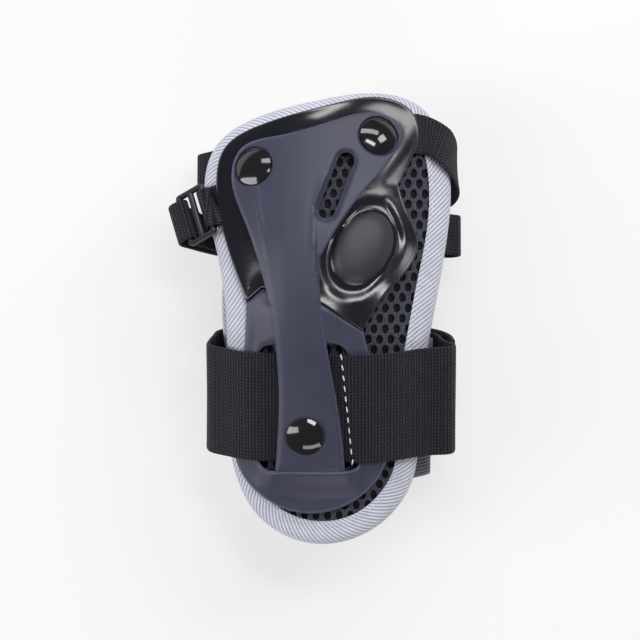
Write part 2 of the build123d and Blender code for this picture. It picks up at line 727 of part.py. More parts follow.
HAND_PATCH_WEB = HAND_WEB - 2.0
hand_patch_plane = strap_plane.offset(-HAND_PATCH_WEB / 2)
with BuildPart() as hand_loop_patch:
    with BuildSketch(hand_patch_plane):
        with Locations((WALL_U + half_hand + 0.05 + PATCH_THICK / 2, -13)):
            Rectangle(PATCH_THICK, 12)
    extrude(amount=HAND_PATCH_WEB)
save(hand_loop_patch, "hand_loop_patch")
with BuildPart() as hand_hook_patch:
    hook_profile = strip_outline(
        hand_patch_plane, tail_line, -half_hand - 0.05 - PATCH_THICK, -half_hand - 0.05,
        start=0.2, end=0.85, count=8,
    )
    extrude(hook_profile, amount=HAND_PATCH_WEB)
save(hand_hook_patch, "hand_hook_patch")
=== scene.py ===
# %% [markdown]
# # A skating wrist guard
# The guard is a padded sleeve with a hard plate on the palm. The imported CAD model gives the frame: every hard
# part that has its right shape stays as it is, and every soft part is made again here, in the same place.
# The first box is kept, so that the finished looks can be compared with the size of the CAD model.

# %% Load the frame
import math

import bmesh
import bpy
import numpy as np
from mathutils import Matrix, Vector
from mathutils.geometry import delaunay_2d_cdt


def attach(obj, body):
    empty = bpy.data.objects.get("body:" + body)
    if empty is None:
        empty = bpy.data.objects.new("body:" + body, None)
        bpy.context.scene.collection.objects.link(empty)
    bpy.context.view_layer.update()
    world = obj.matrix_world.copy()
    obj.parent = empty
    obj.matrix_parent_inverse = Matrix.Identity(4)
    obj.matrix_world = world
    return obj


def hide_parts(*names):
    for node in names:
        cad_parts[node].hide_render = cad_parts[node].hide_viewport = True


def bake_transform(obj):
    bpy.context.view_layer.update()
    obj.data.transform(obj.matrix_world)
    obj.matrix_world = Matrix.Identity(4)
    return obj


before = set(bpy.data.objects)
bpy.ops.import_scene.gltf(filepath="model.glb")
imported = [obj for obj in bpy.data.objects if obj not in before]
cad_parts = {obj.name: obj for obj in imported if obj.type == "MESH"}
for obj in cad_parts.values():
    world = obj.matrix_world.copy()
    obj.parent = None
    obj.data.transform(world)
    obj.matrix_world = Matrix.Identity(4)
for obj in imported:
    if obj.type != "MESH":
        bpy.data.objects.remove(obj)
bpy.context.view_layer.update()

# %% [markdown]
# ## The two bent arches
# A hand in a guard bends back at the wrist. Both sides of the sleeve are therefore arches across the hand
# that are bent along it, about one axis below the wrist. Everything on the guard lies at some height over
# one of these two surfaces, so two short functions place almost every point of the model. They work in
# millimetres.

# %% Height functions of the palm and dorsal sides
MM = 0.001
TILT_FOREARM, TILT_HAND = math.radians(14), math.radians(20)
WRIST_Y, BEND_Z, ARCH_X = 14.0, -44.6, 4.0
PALM_RHO, PALM_ARCH = 110.0, 62.0
DORSAL_RHO, DORSAL_ARCH = 66.0, 90.0


def bent_z(y, rho):
    d = y - WRIST_Y
    z = BEND_Z + np.sqrt(np.maximum(rho * rho - d * d, 0.0))
    low, high = -rho * math.sin(TILT_FOREARM), rho * math.sin(TILT_HAND)
    z = np.where(d < low, BEND_Z + rho / math.cos(TILT_FOREARM) + d * math.tan(TILT_FOREARM), z)
    return np.where(d > high, BEND_Z + rho / math.cos(TILT_HAND) - d * math.tan(TILT_HAND), z)


def palm_rho(x, h):
    return PALM_RHO - PALM_ARCH + np.sqrt(np.maximum((PALM_ARCH + h) ** 2 - (x - ARCH_X) ** 2, 1.0))


def dorsal_rho(x, h):
    return DORSAL_RHO + DORSAL_ARCH - np.sqrt(np.maximum((DORSAL_ARCH + h) ** 2 - (x - ARCH_X) ** 2, 1.0))


def palm_z(x, y, h):
    return bent_z(y, palm_rho(x, h))


def dorsal_z(x, y, h):
    return bent_z(y, dorsal_rho(x, h))


def on_side(side_z, x, y, h):
    """A point of one side and the direction that leads outward there."""
    e = 0.05
    p = np.array([x, y, float(side_z(x, y, h))])
    across = np.array([2 * e, 0, float(side_z(x + e, y, h) - side_z(x - e, y, h))])
    along = np.array([0, 2 * e, float(side_z(x, y + e, h) - side_z(x, y - e, h))])
    out = np.cross(across, along)
    out /= np.linalg.norm(out)
    return p, out if side_z is palm_z else -out


def bend_point(angle, offset, x, rho):
    """A point in the section plane that passes through the bend axis at an angle."""
    s, c = math.sin(angle), math.cos(angle)
    return np.array([x, WRIST_Y + rho * s - offset * c, BEND_Z + rho * c + offset * s])


print("palm fabric above the wrist axis at z =", round(float(palm_z(ARCH_X, WRIST_Y, 0.0)), 2), "mm")

# %% [markdown]
# ## Smooth lines
# Outlines and straps follow smooth lines through a few points. A cubic spline with chord-length spacing does
# this, closed for an outline and open for a strap. The line is then cut into equal steps, because even steps
# give even faces and an even weave.

# %% Spline and resampling helpers
def resample(line, count, closed=False, measured=3):
    steps = np.linalg.norm(np.diff(line[:, :measured], axis=0), axis=1)
    at = np.concatenate([[0], np.cumsum(steps)])
    wanted = np.linspace(0, at[-1], count, endpoint=not closed)
    return np.column_stack([np.interp(wanted, at, line[:, k]) for k in range(line.shape[1])])


def smooth_line(points, count, closed=False, measured=3):
    p = np.array(points, float)
    if closed:
        p = np.vstack([p, p[:1]])
    h = np.linalg.norm(np.diff(p[:, :measured], axis=0), axis=1)
    n = len(p)
    a, b = np.zeros((n, n)), np.zeros((n, p.shape[1]))
    for i in range(1, n - 1):
        a[i, i - 1:i + 2] = h[i - 1], 2 * (h[i - 1] + h[i]), h[i]
        b[i] = 6 * ((p[i + 1] - p[i]) / h[i] - (p[i] - p[i - 1]) / h[i - 1])
    if closed:
        a[0, 0], a[0, -1] = 1, -1
        a[-1, 0], a[-1, 1], a[-1, -1], a[-1, -2] = 2 * h[0], h[0], 2 * h[-1], h[-1]
        b[-1] = 6 * ((p[1] - p[0]) / h[0] - (p[-1] - p[-2]) / h[-1])
    else:
        a[0, 0] = a[-1, -1] = 1
    bend = np.linalg.solve(a, b)
    s = np.linspace(0, 1, 30, endpoint=False)[:, None]
    runs = []
    for i in range(n - 1):
        curve = ((1 - s) ** 3 - (1 - s)) * bend[i] + (s**3 - s) * bend[i + 1]
        runs.append((1 - s) * p[i] + s * p[i + 1] + curve * h[i] ** 2 / 6)
    return resample(np.vstack(runs + [p[-1:]]), count, closed, measured)


def unit(v):
    return v / np.maximum(np.linalg.norm(v, axis=-1, keepdims=True), 1e-9)


def inward(loop):
    """Directions into a loop that runs clockwise."""
    run = unit(np.roll(loop, -1, axis=0) - np.roll(loop, 1, axis=0))
    return np.column_stack([run[:, 1], -run[:, 0]])


def depth_in(points, loop):
    """How far each point lies inside a closed loop; outside it is negative."""
    near, inside = np.full(len(points), 1e9), np.zeros(len(points), bool)
    for a, b in zip(loop, np.roll(loop, -1, axis=0)):
        d, w = b - a, points - a
        t = np.clip(w @ d / max(d @ d, 1e-12), 0, 1)
        near = np.minimum(near, np.linalg.norm(w - t[:, None] * d, axis=1))
        if a[1] != b[1]:
            crosses = (a[1] > points[:, 1]) != (b[1] > points[:, 1])
            inside ^= crosses & (points[:, 0] < a[0] + w[:, 1] * d[0] / d[1])
    return np.where(inside, near, -near)


# %% Outlines of the two padded panels
PANEL = smooth_line([
    (-41.8, 50), (-37.5, 65), (-22, 75.8), (2, 82.4), (22, 85), (40, 80), (49.2, 65), (49.8, 30),
    (44.5, 0), (39.5, -35), (36.5, -62), (24, -78), (0, -85), (-21.5, -74.5), (-31, -55),
    (-33.2, -8), (-37.2, 26)], 560, closed=True, measured=2)
DORSAL = smooth_line([
    (-33.5, 46), (-29, 62), (-14, 72.5), (6, 75.5), (24, 72), (34, 60), (36.5, 36), (36, 10),
    (36, -20), (34, -52), (20, -65.5), (0, -68), (-20, -62), (-28.5, -48), (-31.5, -28), (-35, -2),
    (-34.5, 24)], 480, closed=True, measured=2)
print("palm panel", np.ptp(PANEL, axis=0).round(1), "dorsal panel", np.ptp(DORSAL, axis=0).round(1), "mm")

# %% [markdown]
# ## Shader groups
# Grain, weave and wear turn up on more than one finish. Each is one shader group with named inputs, and each
# material sets its own values. The groups only put out heights and masks, and the shader itself stays in the
# material.

# %% Helpers for node trees
def put(tree, kind, **values):
    node = tree.nodes.new(kind)
    for key, value in values.items():
        setattr(node, key, value)
    return node


def feed(tree, socket, value):
    if isinstance(value, bpy.types.NodeSocket):
        tree.links.new(value, socket)
    else:
        socket.default_value = value


def calc(tree, operation, *values):
    node = put(tree, "ShaderNodeMath", operation=operation)
    for socket, value in zip(node.inputs, values):
        feed(tree, socket, value)
    return node.outputs[0]


def new_group(name, inputs, outputs):
    tree = bpy.data.node_groups.new(name, "ShaderNodeTree")
    for label, kind, value in inputs:
        socket = tree.interface.new_socket(label, in_out="INPUT", socket_type=kind)
        if value is not None:
            socket.default_value = value
    for label in outputs:
        tree.interface.new_socket(label, in_out="OUTPUT", socket_type="NodeSocketFloat")
    return tree, put(tree, "NodeGroupInput").outputs, put(tree, "NodeGroupOutput").inputs


FLOAT, VECTOR = "NodeSocketFloat", "NodeSocketVector"

# %% Moulded grain: fine noise for plastic, with a slow change of tone
grain, given, out = new_group(
    "moulded grain", [("Place", VECTOR, None), ("Grain Size", FLOAT, 0.4), ("Tone Size", FLOAT, 30.0)],
    ["Height", "Tone"])
fine = put(grain, "ShaderNodeTexNoise")
broad = put(grain, "ShaderNodeTexNoise")
for node, size in ((fine, "Grain Size"), (broad, "Tone Size")):
    grain.links.new(given["Place"], node.inputs["Vector"])
    grain.links.new(calc(grain, "DIVIDE", 1000.0, given[size]), node.inputs["Scale"])
    node.inputs["Detail"].default_value = 3
feed(grain, out["Height"], fine.outputs["Fac"])
feed(grain, out["Tone"], broad.outputs["Fac"])

# %% Woven ribs: ribs across a strap, each a row of slanted floats that meet the next rib in a V
ribs, given, out = new_group(
    "woven ribs",
    [("Place", VECTOR, None), ("Rib Pitch", FLOAT, 1.0), ("Thread Pitch", FLOAT, 0.8),
     ("Stagger", FLOAT, 0.5), ("Float Depth", FLOAT, 0.6)], ["Height", "Tone"])
split = put(ribs, "ShaderNodeSeparateXYZ")
ribs.links.new(given["Place"], split.inputs[0])
along = calc(ribs, "MULTIPLY", split.outputs["X"], 1000.0)
across = calc(ribs, "MULTIPLY", split.outputs["Y"], 1000.0)
rib = calc(ribs, "DIVIDE", along, given["Rib Pitch"])
wave = calc(ribs, "ABSOLUTE", calc(ribs, "SINE", calc(ribs, "MULTIPLY", rib, math.pi)))
shifted = calc(ribs, "MULTIPLY_ADD", calc(ribs, "PINGPONG", rib, 1.0), given["Stagger"], calc(
    ribs, "DIVIDE", across, given["Thread Pitch"]))
floats = calc(ribs, "ABSOLUTE", calc(ribs, "SINE", calc(ribs, "MULTIPLY", shifted, math.pi)))
dip = calc(ribs, "MULTIPLY", calc(ribs, "SUBTRACT", 1.0, floats), given["Float Depth"])
feed(ribs, out["Height"], calc(ribs, "MULTIPLY", wave, calc(ribs, "SUBTRACT", 1.0, dip)))
uneven = put(ribs, "ShaderNodeTexNoise")
ribs.links.new(given["Place"], uneven.inputs["Vector"])
uneven.inputs["Scale"].default_value = 180
feed(ribs, out["Tone"], uneven.outputs["Fac"])

# %% Edge wear: a mask that is 1 on an edge and fades inward, broken up by noise
wear, given, out = new_group(
    "edge wear", [("Place", VECTOR, None), ("Edge Distance", FLOAT, 5.0), ("Reach", FLOAT, 0.8)], ["Mask"])
rough_noise = put(wear, "ShaderNodeTexNoise")
wear.links.new(given["Place"], rough_noise.inputs["Vector"])
rough_noise.inputs["Scale"].default_value = 350
fade = calc(wear, "SUBTRACT", 1.0, calc(wear, "DIVIDE", given["Edge Distance"], given["Reach"]))
fade = calc(wear, "MAXIMUM", fade, 0.0)
feed(wear, out["Mask"], calc(wear, "MULTIPLY", fade, rough_noise.outputs["Fac"]))
print("shader groups:", [g.name for g in bpy.data.node_groups])


# %% Start of a material: its shader, the place on the piece, and a place for a bump
def new_finish(name, rough, **constants):
    material = bpy.data.materials.new(name)
    material.use_nodes = True
    tree = material.node_tree
    shader = tree.nodes["Principled BSDF"]
    shader.inputs["Roughness"].default_value = rough
    for key, value in constants.items():
        shader.inputs[key.replace("_", " ")].default_value = value
    return material, tree, shader


def use_group(tree, group, **values):
    node = put(tree, "ShaderNodeGroup", node_tree=group)
    for key, value in values.items():
        feed(tree, node.inputs[key.replace("_", " ")], value)
    return node.outputs


def own_place(tree, uv=False):
    return put(tree, "ShaderNodeTexCoord").outputs["UV" if uv else "Object"]


def mix_colors(tree, factor, low, high):
    ramp = put(tree, "ShaderNodeMix", data_type="RGBA")
    feed(tree, ramp.inputs["Factor"], factor)
    for socket, value in ((ramp.inputs[6], low), (ramp.inputs[7], high)):
        feed(tree, socket, value if isinstance(value, bpy.types.NodeSocket) else (*value, 1))
    return ramp.outputs[2]


def bump(tree, shader, height, distance, strength=1.0):
    node = put(tree, "ShaderNodeBump")
    node.inputs["Strength"].default_value = strength
    node.inputs["Distance"].default_value = distance * MM
    tree.links.new(height, node.inputs["Height"])
    tree.links.new(node.outputs[0], shader.inputs["Normal"])


def span(tree, value, low, high):
    """Value from 0 to 1 as a number from low to high."""
    return calc(tree, "MULTIPLY_ADD", value, high - low, low)


# %% [markdown]
# ## Finishes of the hard parts
# The splint is satin plastic with a moulded texture, a little paler where its edges are rubbed. The skid
# plate is polished, so small changes of roughness and a few fine scratches show in its reflections. The
# rivets are enamelled steel, and the washers are zinc-plated.

# %% Moulded plastic: splint, stay and buckle
def moulded(name, dark, pale, rough, grain_size, depth, worn=False, spec=0.5):
    material, tree, shader = new_finish(name, rough[0], Specular_IOR_Level=spec)
    place = own_place(tree)
    marks = use_group(tree, grain, Place=place, Grain_Size=grain_size, Tone_Size=26.0)
    color = mix_colors(tree, marks["Tone"], dark, pale)
    if worn:
        edge = put(tree, "ShaderNodeAttribute", attribute_name="edge_distance").outputs["Fac"]
        mask = use_group(tree, wear, Place=place, Edge_Distance=edge, Reach=1.1)["Mask"]
        color = mix_colors(tree, mask, color, tuple(2.6 * c for c in pale))
    tree.links.new(color, shader.inputs["Base Color"])
    tree.links.new(span(tree, marks["Tone"], *rough), shader.inputs["Roughness"])
    bump(tree, shader, marks["Height"], depth)
    return material


splint_finish = moulded("satin splint plastic", (0.026, 0.027, 0.052), (0.044, 0.045, 0.082),
                        (0.42, 0.52), 0.55, 0.035, worn=True, spec=0.5)
stay_finish = moulded("satin stay plastic", (0.040, 0.040, 0.047), (0.07, 0.07, 0.08), (0.45, 0.6), 0.6, 0.03)
buckle_finish = moulded("satin buckle plastic", (0.008, 0.008, 0.013), (0.020, 0.020, 0.030),
                        (0.28, 0.40), 0.5, 0.015)

# %% Polished plastic of the skid plate, with fine scratches
skid_finish, tree, shader = new_finish("polished skid plastic", 0.14, Specular_IOR_Level=0.55)
place = own_place(tree)
marks = use_group(tree, grain, Place=place, Grain_Size=1.6, Tone_Size=18.0)
stretch = put(tree, "ShaderNodeMapping")
stretch.inputs["Rotation"].default_value = (0, 0, 0.7)
stretch.inputs["Scale"].default_value = (1, 8, 8)
tree.links.new(place, stretch.inputs["Vector"])
scratch = put(tree, "ShaderNodeTexNoise")
scratch.inputs["Scale"].default_value = 120
tree.links.new(stretch.outputs[0], scratch.inputs["Vector"])
lines = calc(tree, "POWER", scratch.outputs["Fac"], 6.0)
edge = put(tree, "ShaderNodeAttribute", attribute_name="edge_distance").outputs["Fac"]
mask = use_group(tree, wear, Place=place, Edge_Distance=edge, Reach=0.7)["Mask"]
color = mix_colors(tree, marks["Tone"], (0.0035, 0.0035, 0.0075), (0.008, 0.008, 0.015))
color = mix_colors(tree, put(tree, "ShaderNodeAttribute", attribute_name="satin").outputs["Fac"], color,
                   (0.022, 0.022, 0.034))
tree.links.new(mix_colors(tree, mask, color, (0.06, 0.06, 0.08)), shader.inputs["Base Color"])
satin = put(tree, "ShaderNodeAttribute", attribute_name="satin").outputs["Fac"]
rough = calc(tree, "ADD", span(tree, marks["Tone"], 0.10, 0.20), calc(tree, "MULTIPLY", lines, 0.5))
tree.links.new(calc(tree, "MULTIPLY_ADD", satin, 0.34, rough), shader.inputs["Roughness"])
bump(tree, shader, calc(tree, "MULTIPLY", marks["Height"], calc(tree, "ADD", satin, 0.05)), 0.02)

# %% Enamelled rivets and zinc-plated washers
def enamel(name, dark, pale, rough, metallic):
    material, tree, shader = new_finish(name, rough[0], Metallic=metallic, Coat_Weight=0.4)
    marks = use_group(tree, grain, Place=own_place(tree), Grain_Size=1.2, Tone_Size=5.0)
    tree.links.new(mix_colors(tree, marks["Tone"], dark, pale), shader.inputs["Base Color"])
    tree.links.new(span(tree, marks["Tone"], *rough), shader.inputs["Roughness"])
    bump(tree, shader, marks["Height"], 0.006)
    return material


rivet_finish = enamel("black rivet enamel", (0.003, 0.003, 0.004), (0.008, 0.008, 0.010), (0.06, 0.14), 0.0)
washer_finish = enamel("zinc plating", (0.42, 0.42, 0.44), (0.62, 0.62, 0.63), (0.25, 0.42), 1.0)
print("hard finishes:", splint_finish.name, skid_finish.name, rivet_finish.name)


# %% [markdown]
# ## Finishes of the fabrics
# Each fabric has its own UV map in metres, with U along the cloth or strap and V across it, so that a weave
# follows every bend. The webbing shows ribs of V-shaped floats, the binding is a twill with fine diagonal
# lines, and the stretch pieces are ribbed. A little sheen gives the soft edge that cloth has against the
# light.

# %% Webbing and ribbed elastic
def woven(name, dark, pale, pitch, thread, stagger, dip, depth, sheen=0.2):
    material, tree, shader = new_finish(name, 0.78, Sheen_Weight=sheen, Sheen_Roughness=0.45,
                                        Specular_IOR_Level=0.3)
    cloth = use_group(tree, ribs, Place=own_place(tree, uv=True), Rib_Pitch=pitch, Thread_Pitch=thread,
                      Stagger=stagger, Float_Depth=dip)
    # Painted light and shade on the weave: the raised floats of each rib are painted paler and the dips between
    # them darker, mixed with a random tone of the yarn.
    painted_relief_light = calc(tree, "MULTIPLY", calc(tree, "POWER", cloth["Height"], 1.6),
               span(tree, cloth["Tone"], 0.5, 1.5))
    tree.links.new(mix_colors(tree, painted_relief_light, dark, pale), shader.inputs["Base Color"])
    tree.links.new(span(tree, cloth["Height"], 0.9, 0.62), shader.inputs["Roughness"])
    bump(tree, shader, cloth["Height"], depth)
    return material


wide_webbing = woven("wide ribbed webbing", (0.0015, 0.0015, 0.003), (0.032, 0.033, 0.056),
                     1.25, 1.3, 0.9, 0.9, 0.50, 0.05)
narrow_webbing = woven("narrow ribbed webbing", (0.0015, 0.0015, 0.003), (0.034, 0.035, 0.055),
                       1.2, 1.3, 0.9, 0.9, 0.50, 0.05)
stretch_knit = woven("ribbed stretch knit", (0.05, 0.05, 0.07), (0.20, 0.20, 0.26), 1.3, 0.5, 0.0, 0.2, 0.25)
hook_tape = woven("moulded hook tape", (0.006, 0.006, 0.007), (0.05, 0.05, 0.055), 1.0, 1.0, 0.5, 0.9, 0.5,
                  0.0)
loop_tape = woven("loop pile tape", (0.008, 0.008, 0.009), (0.03, 0.03, 0.034), 0.6, 0.45, 0.5, 0.8, 0.3, 0.6)

# %% Twill of the binding
TWILL_PITCH = 2.0
twill, tree, shader = new_finish("pale twill tape", 0.72, Sheen_Weight=0.15, Specular_IOR_Level=0.3)
place = own_place(tree, uv=True)
split = put(tree, "ShaderNodeSeparateXYZ")
tree.links.new(place, split.inputs[0])
diagonal = calc(tree, "MULTIPLY_ADD", split.outputs["Y"], 1.15, split.outputs["X"])
wave = calc(tree, "SINE", calc(tree, "MULTIPLY", diagonal, 2 * math.pi / (TWILL_PITCH * MM)))
line = calc(tree, "MULTIPLY_ADD", wave, 0.5, 0.5)
line = calc(tree, "POWER", line, 0.5)
cloth = use_group(tree, ribs, Place=place, Rib_Pitch=0.42, Thread_Pitch=0.42, Stagger=0.5, Float_Depth=0.5)
height = calc(tree, "MULTIPLY_ADD", cloth["Height"], 0.35, line)
tone = span(tree, cloth["Tone"], 0.75, 1.15)
# Painted light and shade on the twill: its raised diagonal ridges are painted pale and the grooves between them
# dark, mixed with a random tone.
color = mix_colors(tree, calc(tree, "MULTIPLY", line, tone), (0.24, 0.25, 0.33), (0.72, 0.73, 0.83))
tree.links.new(color, shader.inputs["Base Color"])
bump(tree, shader, height, 0.16)


# %% Knitted mesh, foam, lining and sewing thread
def knit(name, dark, pale, size, depth, rough=0.85, sheen=0.2):
    material, tree, shader = new_finish(name, rough, Sheen_Weight=sheen, Specular_IOR_Level=0.25)
    place = own_place(tree)
    marks = use_group(tree, grain, Place=place, Grain_Size=size, Tone_Size=14.0)
    loops = put(tree, "ShaderNodeTexVoronoi")
    loops.inputs["Scale"].default_value = 1000 / size
    tree.links.new(place, loops.inputs["Vector"])
    # Painted light and shade on the knit: the raised loop edges are painted paler and the pits between them
    # darker, mixed with a random tone.
    painted_relief_light = calc(tree, "MULTIPLY", loops.outputs["Distance"], span(tree, marks["Tone"], 0.8, 1.6))
    tree.links.new(mix_colors(tree, painted_relief_light, dark, pale), shader.inputs["Base Color"])
    tree.links.new(span(tree, marks["Height"], rough, rough - 0.15), shader.inputs["Roughness"])
    bump(tree, shader, loops.outputs["Distance"], depth)
    return material


mesh_knit = knit("spacer mesh knit", (0.014, 0.015, 0.024), (0.060, 0.063, 0.092), 0.55, 0.20)
foam_finish = knit("black foam", (0.002, 0.002, 0.003), (0.010, 0.010, 0.012), 0.9, 0.15, 0.95, 0.0)
lining_finish = knit("brushed lining knit", (0.010, 0.010, 0.012), (0.035, 0.035, 0.042), 0.7, 0.12, 0.9, 0.5)
pale_thread = knit("pale sewing thread", (0.45, 0.46, 0.50), (0.80, 0.81, 0.85), 0.2, 0.02, 0.6)
print("finishes made:", len(bpy.data.materials))


# %% [markdown]
# ## Making a piece
# A finished piece keeps its place in its mesh, like a CAD node does. One helper makes the mesh from points in
# millimetres, turns its faces outward, and gives it its UV map and finish. Another hangs it on the body that it
# rides on, or only fixes a bending piece in place, and hides the CAD nodes that it stands for.

# %% Piece helpers
def new_piece(name, points, faces, material, uv=None, sharp=40):
    mesh = bpy.data.meshes.new(name)
    mesh.from_pydata((np.asarray(points) * MM).tolist(), [], [tuple(int(i) for i in f) for f in faces])
    obj = bpy.data.objects.new(name, mesh)
    bpy.context.scene.collection.objects.link(obj)
    if uv is not None:
        corner = np.zeros(len(mesh.loops), int)
        mesh.loops.foreach_get("vertex_index", corner)
        mesh.uv_layers.new(name="UVMap").data.foreach_set("uv", (np.asarray(uv) * MM)[corner].ravel())
    outward(mesh)
    mesh.materials.append(material)
    mesh.set_sharp_from_angle(angle=math.radians(sharp))
    return obj


def outward(mesh):
    work = bmesh.new()
    work.from_mesh(mesh)
    bmesh.ops.recalc_face_normals(work, faces=work.faces)
    if work.calc_volume(signed=True) < 0:
        bmesh.ops.reverse_faces(work, faces=work.faces)
    for face in work.faces:
        face.smooth = True
    work.to_mesh(mesh)
    work.free()


def stands_for(obj, nodes, body="guard", bend=None):
    if bend:
        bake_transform(obj)
    else:
        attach(obj, body)
    for node in nodes:
        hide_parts(node)
    print(f"{obj.name}: {len(obj.data.polygons)} faces, stands for {', '.join(nodes) or 'no node'}")


# %% [markdown]
# ## Plates and pads from an outline
# The skid plate, the splint, the foam and the lining are all plates that follow the bent arch. Each one can
# be described by its outline, its openings, and two heights that depend on how far a point is from the
# edge. A constrained Delaunay mesh fills the outline. Rings of points near the edge let the height round it
# off, and the same distance is kept as an attribute, so that the material knows where the edges are.

# %% Fill an outline and raise it to a closed plate
def fill_outline(solids, cuts, step, rings, more=()):
    def depth(p):
        d = np.max([depth_in(p, loop) for loop in solids], axis=0)
        for cut in cuts:
            d = np.minimum(d, -depth_in(p, cut))
        return d

    flat, edges = [], []
    for loop in [*solids, *cuts]:
        first = sum(len(p) for p in flat)
        flat.append(loop)
        edges += [(first + i, first + (i + 1) % len(loop)) for i in range(len(loop))]
    for loop in [*solids, *cuts]:
        for way in (1, -1):
            for ring in rings:
                moved = loop + inward(loop) * ring * way
                flat.append(moved[depth(moved) > 0.93 * ring])
    low, high = np.vstack(solids).min(0), np.vstack(solids).max(0)
    rows = []
    for k, y in enumerate(np.arange(low[1], high[1], step * 0.87)):
        xs = np.arange(low[0] + (k % 2) * step / 2, high[0], step)
        rows.append(np.column_stack([xs, np.full(len(xs), y)]))
    inner = np.vstack(rows)
    inner = inner[depth(inner) > rings[-1] + 0.4 * step]
    for loop in more:
        inner = inner[np.linalg.norm(inner[:, None] - loop[None], axis=2).min(1) > 0.3 * step]
        flat.append(loop[depth(loop) > 0.3])
    flat.append(inner)
    made = delaunay_2d_cdt([tuple(p) for p in np.vstack(flat)], edges, [], 0, 1e-5)
    points = np.array([tuple(v) for v in made[0]])
    triangles = np.array([f for f in made[2] if len(f) == 3])
    keep = depth(points[triangles].mean(1)) > 0
    triangles = triangles[keep]
    used, triangles = np.unique(triangles, return_inverse=True)
    triangles = triangles.reshape(-1, 3)
    points = points[used]
    a, b, c = (points[triangles[:, k]] for k in range(3))
    flip = (b - a)[:, 0] * (c - a)[:, 1] - (b - a)[:, 1] * (c - a)[:, 0] < 0
    triangles[flip] = triangles[flip][:, ::-1]
    return points, triangles, np.maximum(depth(points), 0)


def plate(name, side_z, solids, cuts, top, bottom, material, step=1.5, rings=(0.12, 0.4, 0.8, 1.4), more=()):
    p, triangles, d = fill_outline(solids, cuts, step, rings, more)
    x, y = p[:, 0], p[:, 1]
    upper = np.column_stack([x, y, side_z(x, y, top(x, y, d))])
    lower = np.column_stack([x, y, side_z(x, y, bottom(x, y, d))])
    n = len(p)
    faces = [tuple(t) for t in triangles] + [(c + n, b + n, a + n) for a, b, c in triangles]
    ways = {(int(t[k]), int(t[(k + 1) % 3])) for t in triangles for k in range(3)}
    faces += [(u + n, v + n, v, u) for u, v in ways if (v, u) not in ways]
    obj = new_piece(name, np.vstack([upper, lower]), faces, material, uv=np.vstack([p, p]))
    kept = obj.data.attributes.new("edge_distance", "FLOAT", "POINT")
    kept.data.foreach_set("value", (np.concatenate([d, d])).astype(np.float32))
    return obj


def rounded(d, radius):
    """How far a rounded edge lies below its flat top, at a distance from the edge."""
    return radius - np.sqrt(np.maximum(radius**2 - np.maximum(radius - d, 0) ** 2, 0))


def ramp(value, low, high):
    t = np.clip((value - low) / (high - low), 0, 1)
    return t * t * (3 - 2 * t)


# %% Round and slotted openings
def ring_loop(x, y, radius, count=36):
    a = -np.linspace(0, 2 * math.pi, count, endpoint=False)
    return np.column_stack([x + radius * np.cos(a), y + radius * np.sin(a)])


def slot_loop(x, y, length, width, degrees, count=40):
    a = -np.linspace(0, 2 * math.pi, count, endpoint=False)
    half = (length - width) / 2
    local = np.column_stack([width / 2 * np.cos(a) + half * np.sign(np.cos(a) + 1e-9), width / 2 * np.sin(a)])
    t = math.radians(degrees)
    turn = np.array([[math.cos(t), -math.sin(t)], [math.sin(t), math.cos(t)]])
    return resample(np.vstack([local, local[:1]]), 60, closed=True, measured=2) @ turn.T + (x, y)


RIVET_HEADS = [(-23.3, 57.1, 5.5), (24.0, 68.6, 5.5), (-3.7, -44.5, 7.0)]
STAY_RIVETS = [(ARCH_X, 58.0), (ARCH_X, -50.0)]
PALM_OUT = []
for x, y, h in RIVET_HEADS:
    head, out = on_side(palm_z, x, y, h)
    PALM_OUT.append((head - out * h, out))


def shank_loop(index, height, radius):
    """The rivet leans with the surface, so its hole moves with the height that it's cut at."""
    point, out = PALM_OUT[index]
    at = point + out * height
    return ring_loop(at[0], at[1], radius)


# %% [markdown]
# ## Perforated mesh cover
# The face fabric is a knitted mesh with rows of oval holes, and every second row is moved by half a hole. One
# cell, a hexagon with an oval hole and a slightly raised rim, is enough: Geometry Nodes repeat it on two
# staggered grids and merge the shared edges. The flat sheet is then cut to the panel and laid on the arch.

# %% One cell of the mesh
CELL_X, CELL_Y = 4.3, 3.9
HOLE_X, HOLE_Y = 1.28, 1.78


def mesh_cell():
    peak = (CELL_X**2 / 4 + CELL_Y**2) / (2 * CELL_Y)
    knee = (CELL_Y**2 - CELL_X**2 / 4) / (2 * CELL_Y)
    corners = [(CELL_X / 2, knee), (0, peak), (-CELL_X / 2, knee), (-CELL_X / 2, -knee), (0, -peak),
               (CELL_X / 2, -knee)]
    rim = []
    for a, b in zip(corners, corners[1:] + corners[:1]):
        rim += [a, ((a[0] + b[0]) / 2, (a[1] + b[1]) / 2)]
    rim = np.array(rim)
    angle = np.arctan2(rim[:, 1] / HOLE_Y, rim[:, 0] / HOLE_X)
    hole = np.column_stack([HOLE_X * np.cos(angle), HOLE_Y * np.sin(angle)])
    rows = [np.column_stack([hole + (rim - hole) * t, np.full(12, z)])
            for t, z in ((0.0, -0.30), (0.22, 0.02), (1.0, -0.04))]
    faces = []
    for k in (0, 12):
        faces += [(k + i, k + 12 + i, k + 12 + (i + 1) % 12, k + (i + 1) % 12) for i in range(12)]
    mesh = bpy.data.meshes.new("mesh_cell")
    mesh.from_pydata((np.vstack(rows) * MM).tolist(), [], faces)
    cell = bpy.data.objects.new("mesh_cell", mesh)
    bpy.context.scene.collection.objects.link(cell)
    return cell


# %% Geometry Nodes that repeat the cell on two staggered grids
def geometry_tree(name, inputs):
    tree = bpy.data.node_groups.new(name, "GeometryNodeTree")
    tree.interface.new_socket("Geometry", in_out="INPUT", socket_type="NodeSocketGeometry")
    for label, kind in inputs:
        tree.interface.new_socket(label, in_out="INPUT", socket_type=kind)
    tree.interface.new_socket("Geometry", in_out="OUTPUT", socket_type="NodeSocketGeometry")
    return tree, put(tree, "NodeGroupInput").outputs, put(tree, "NodeGroupOutput").inputs


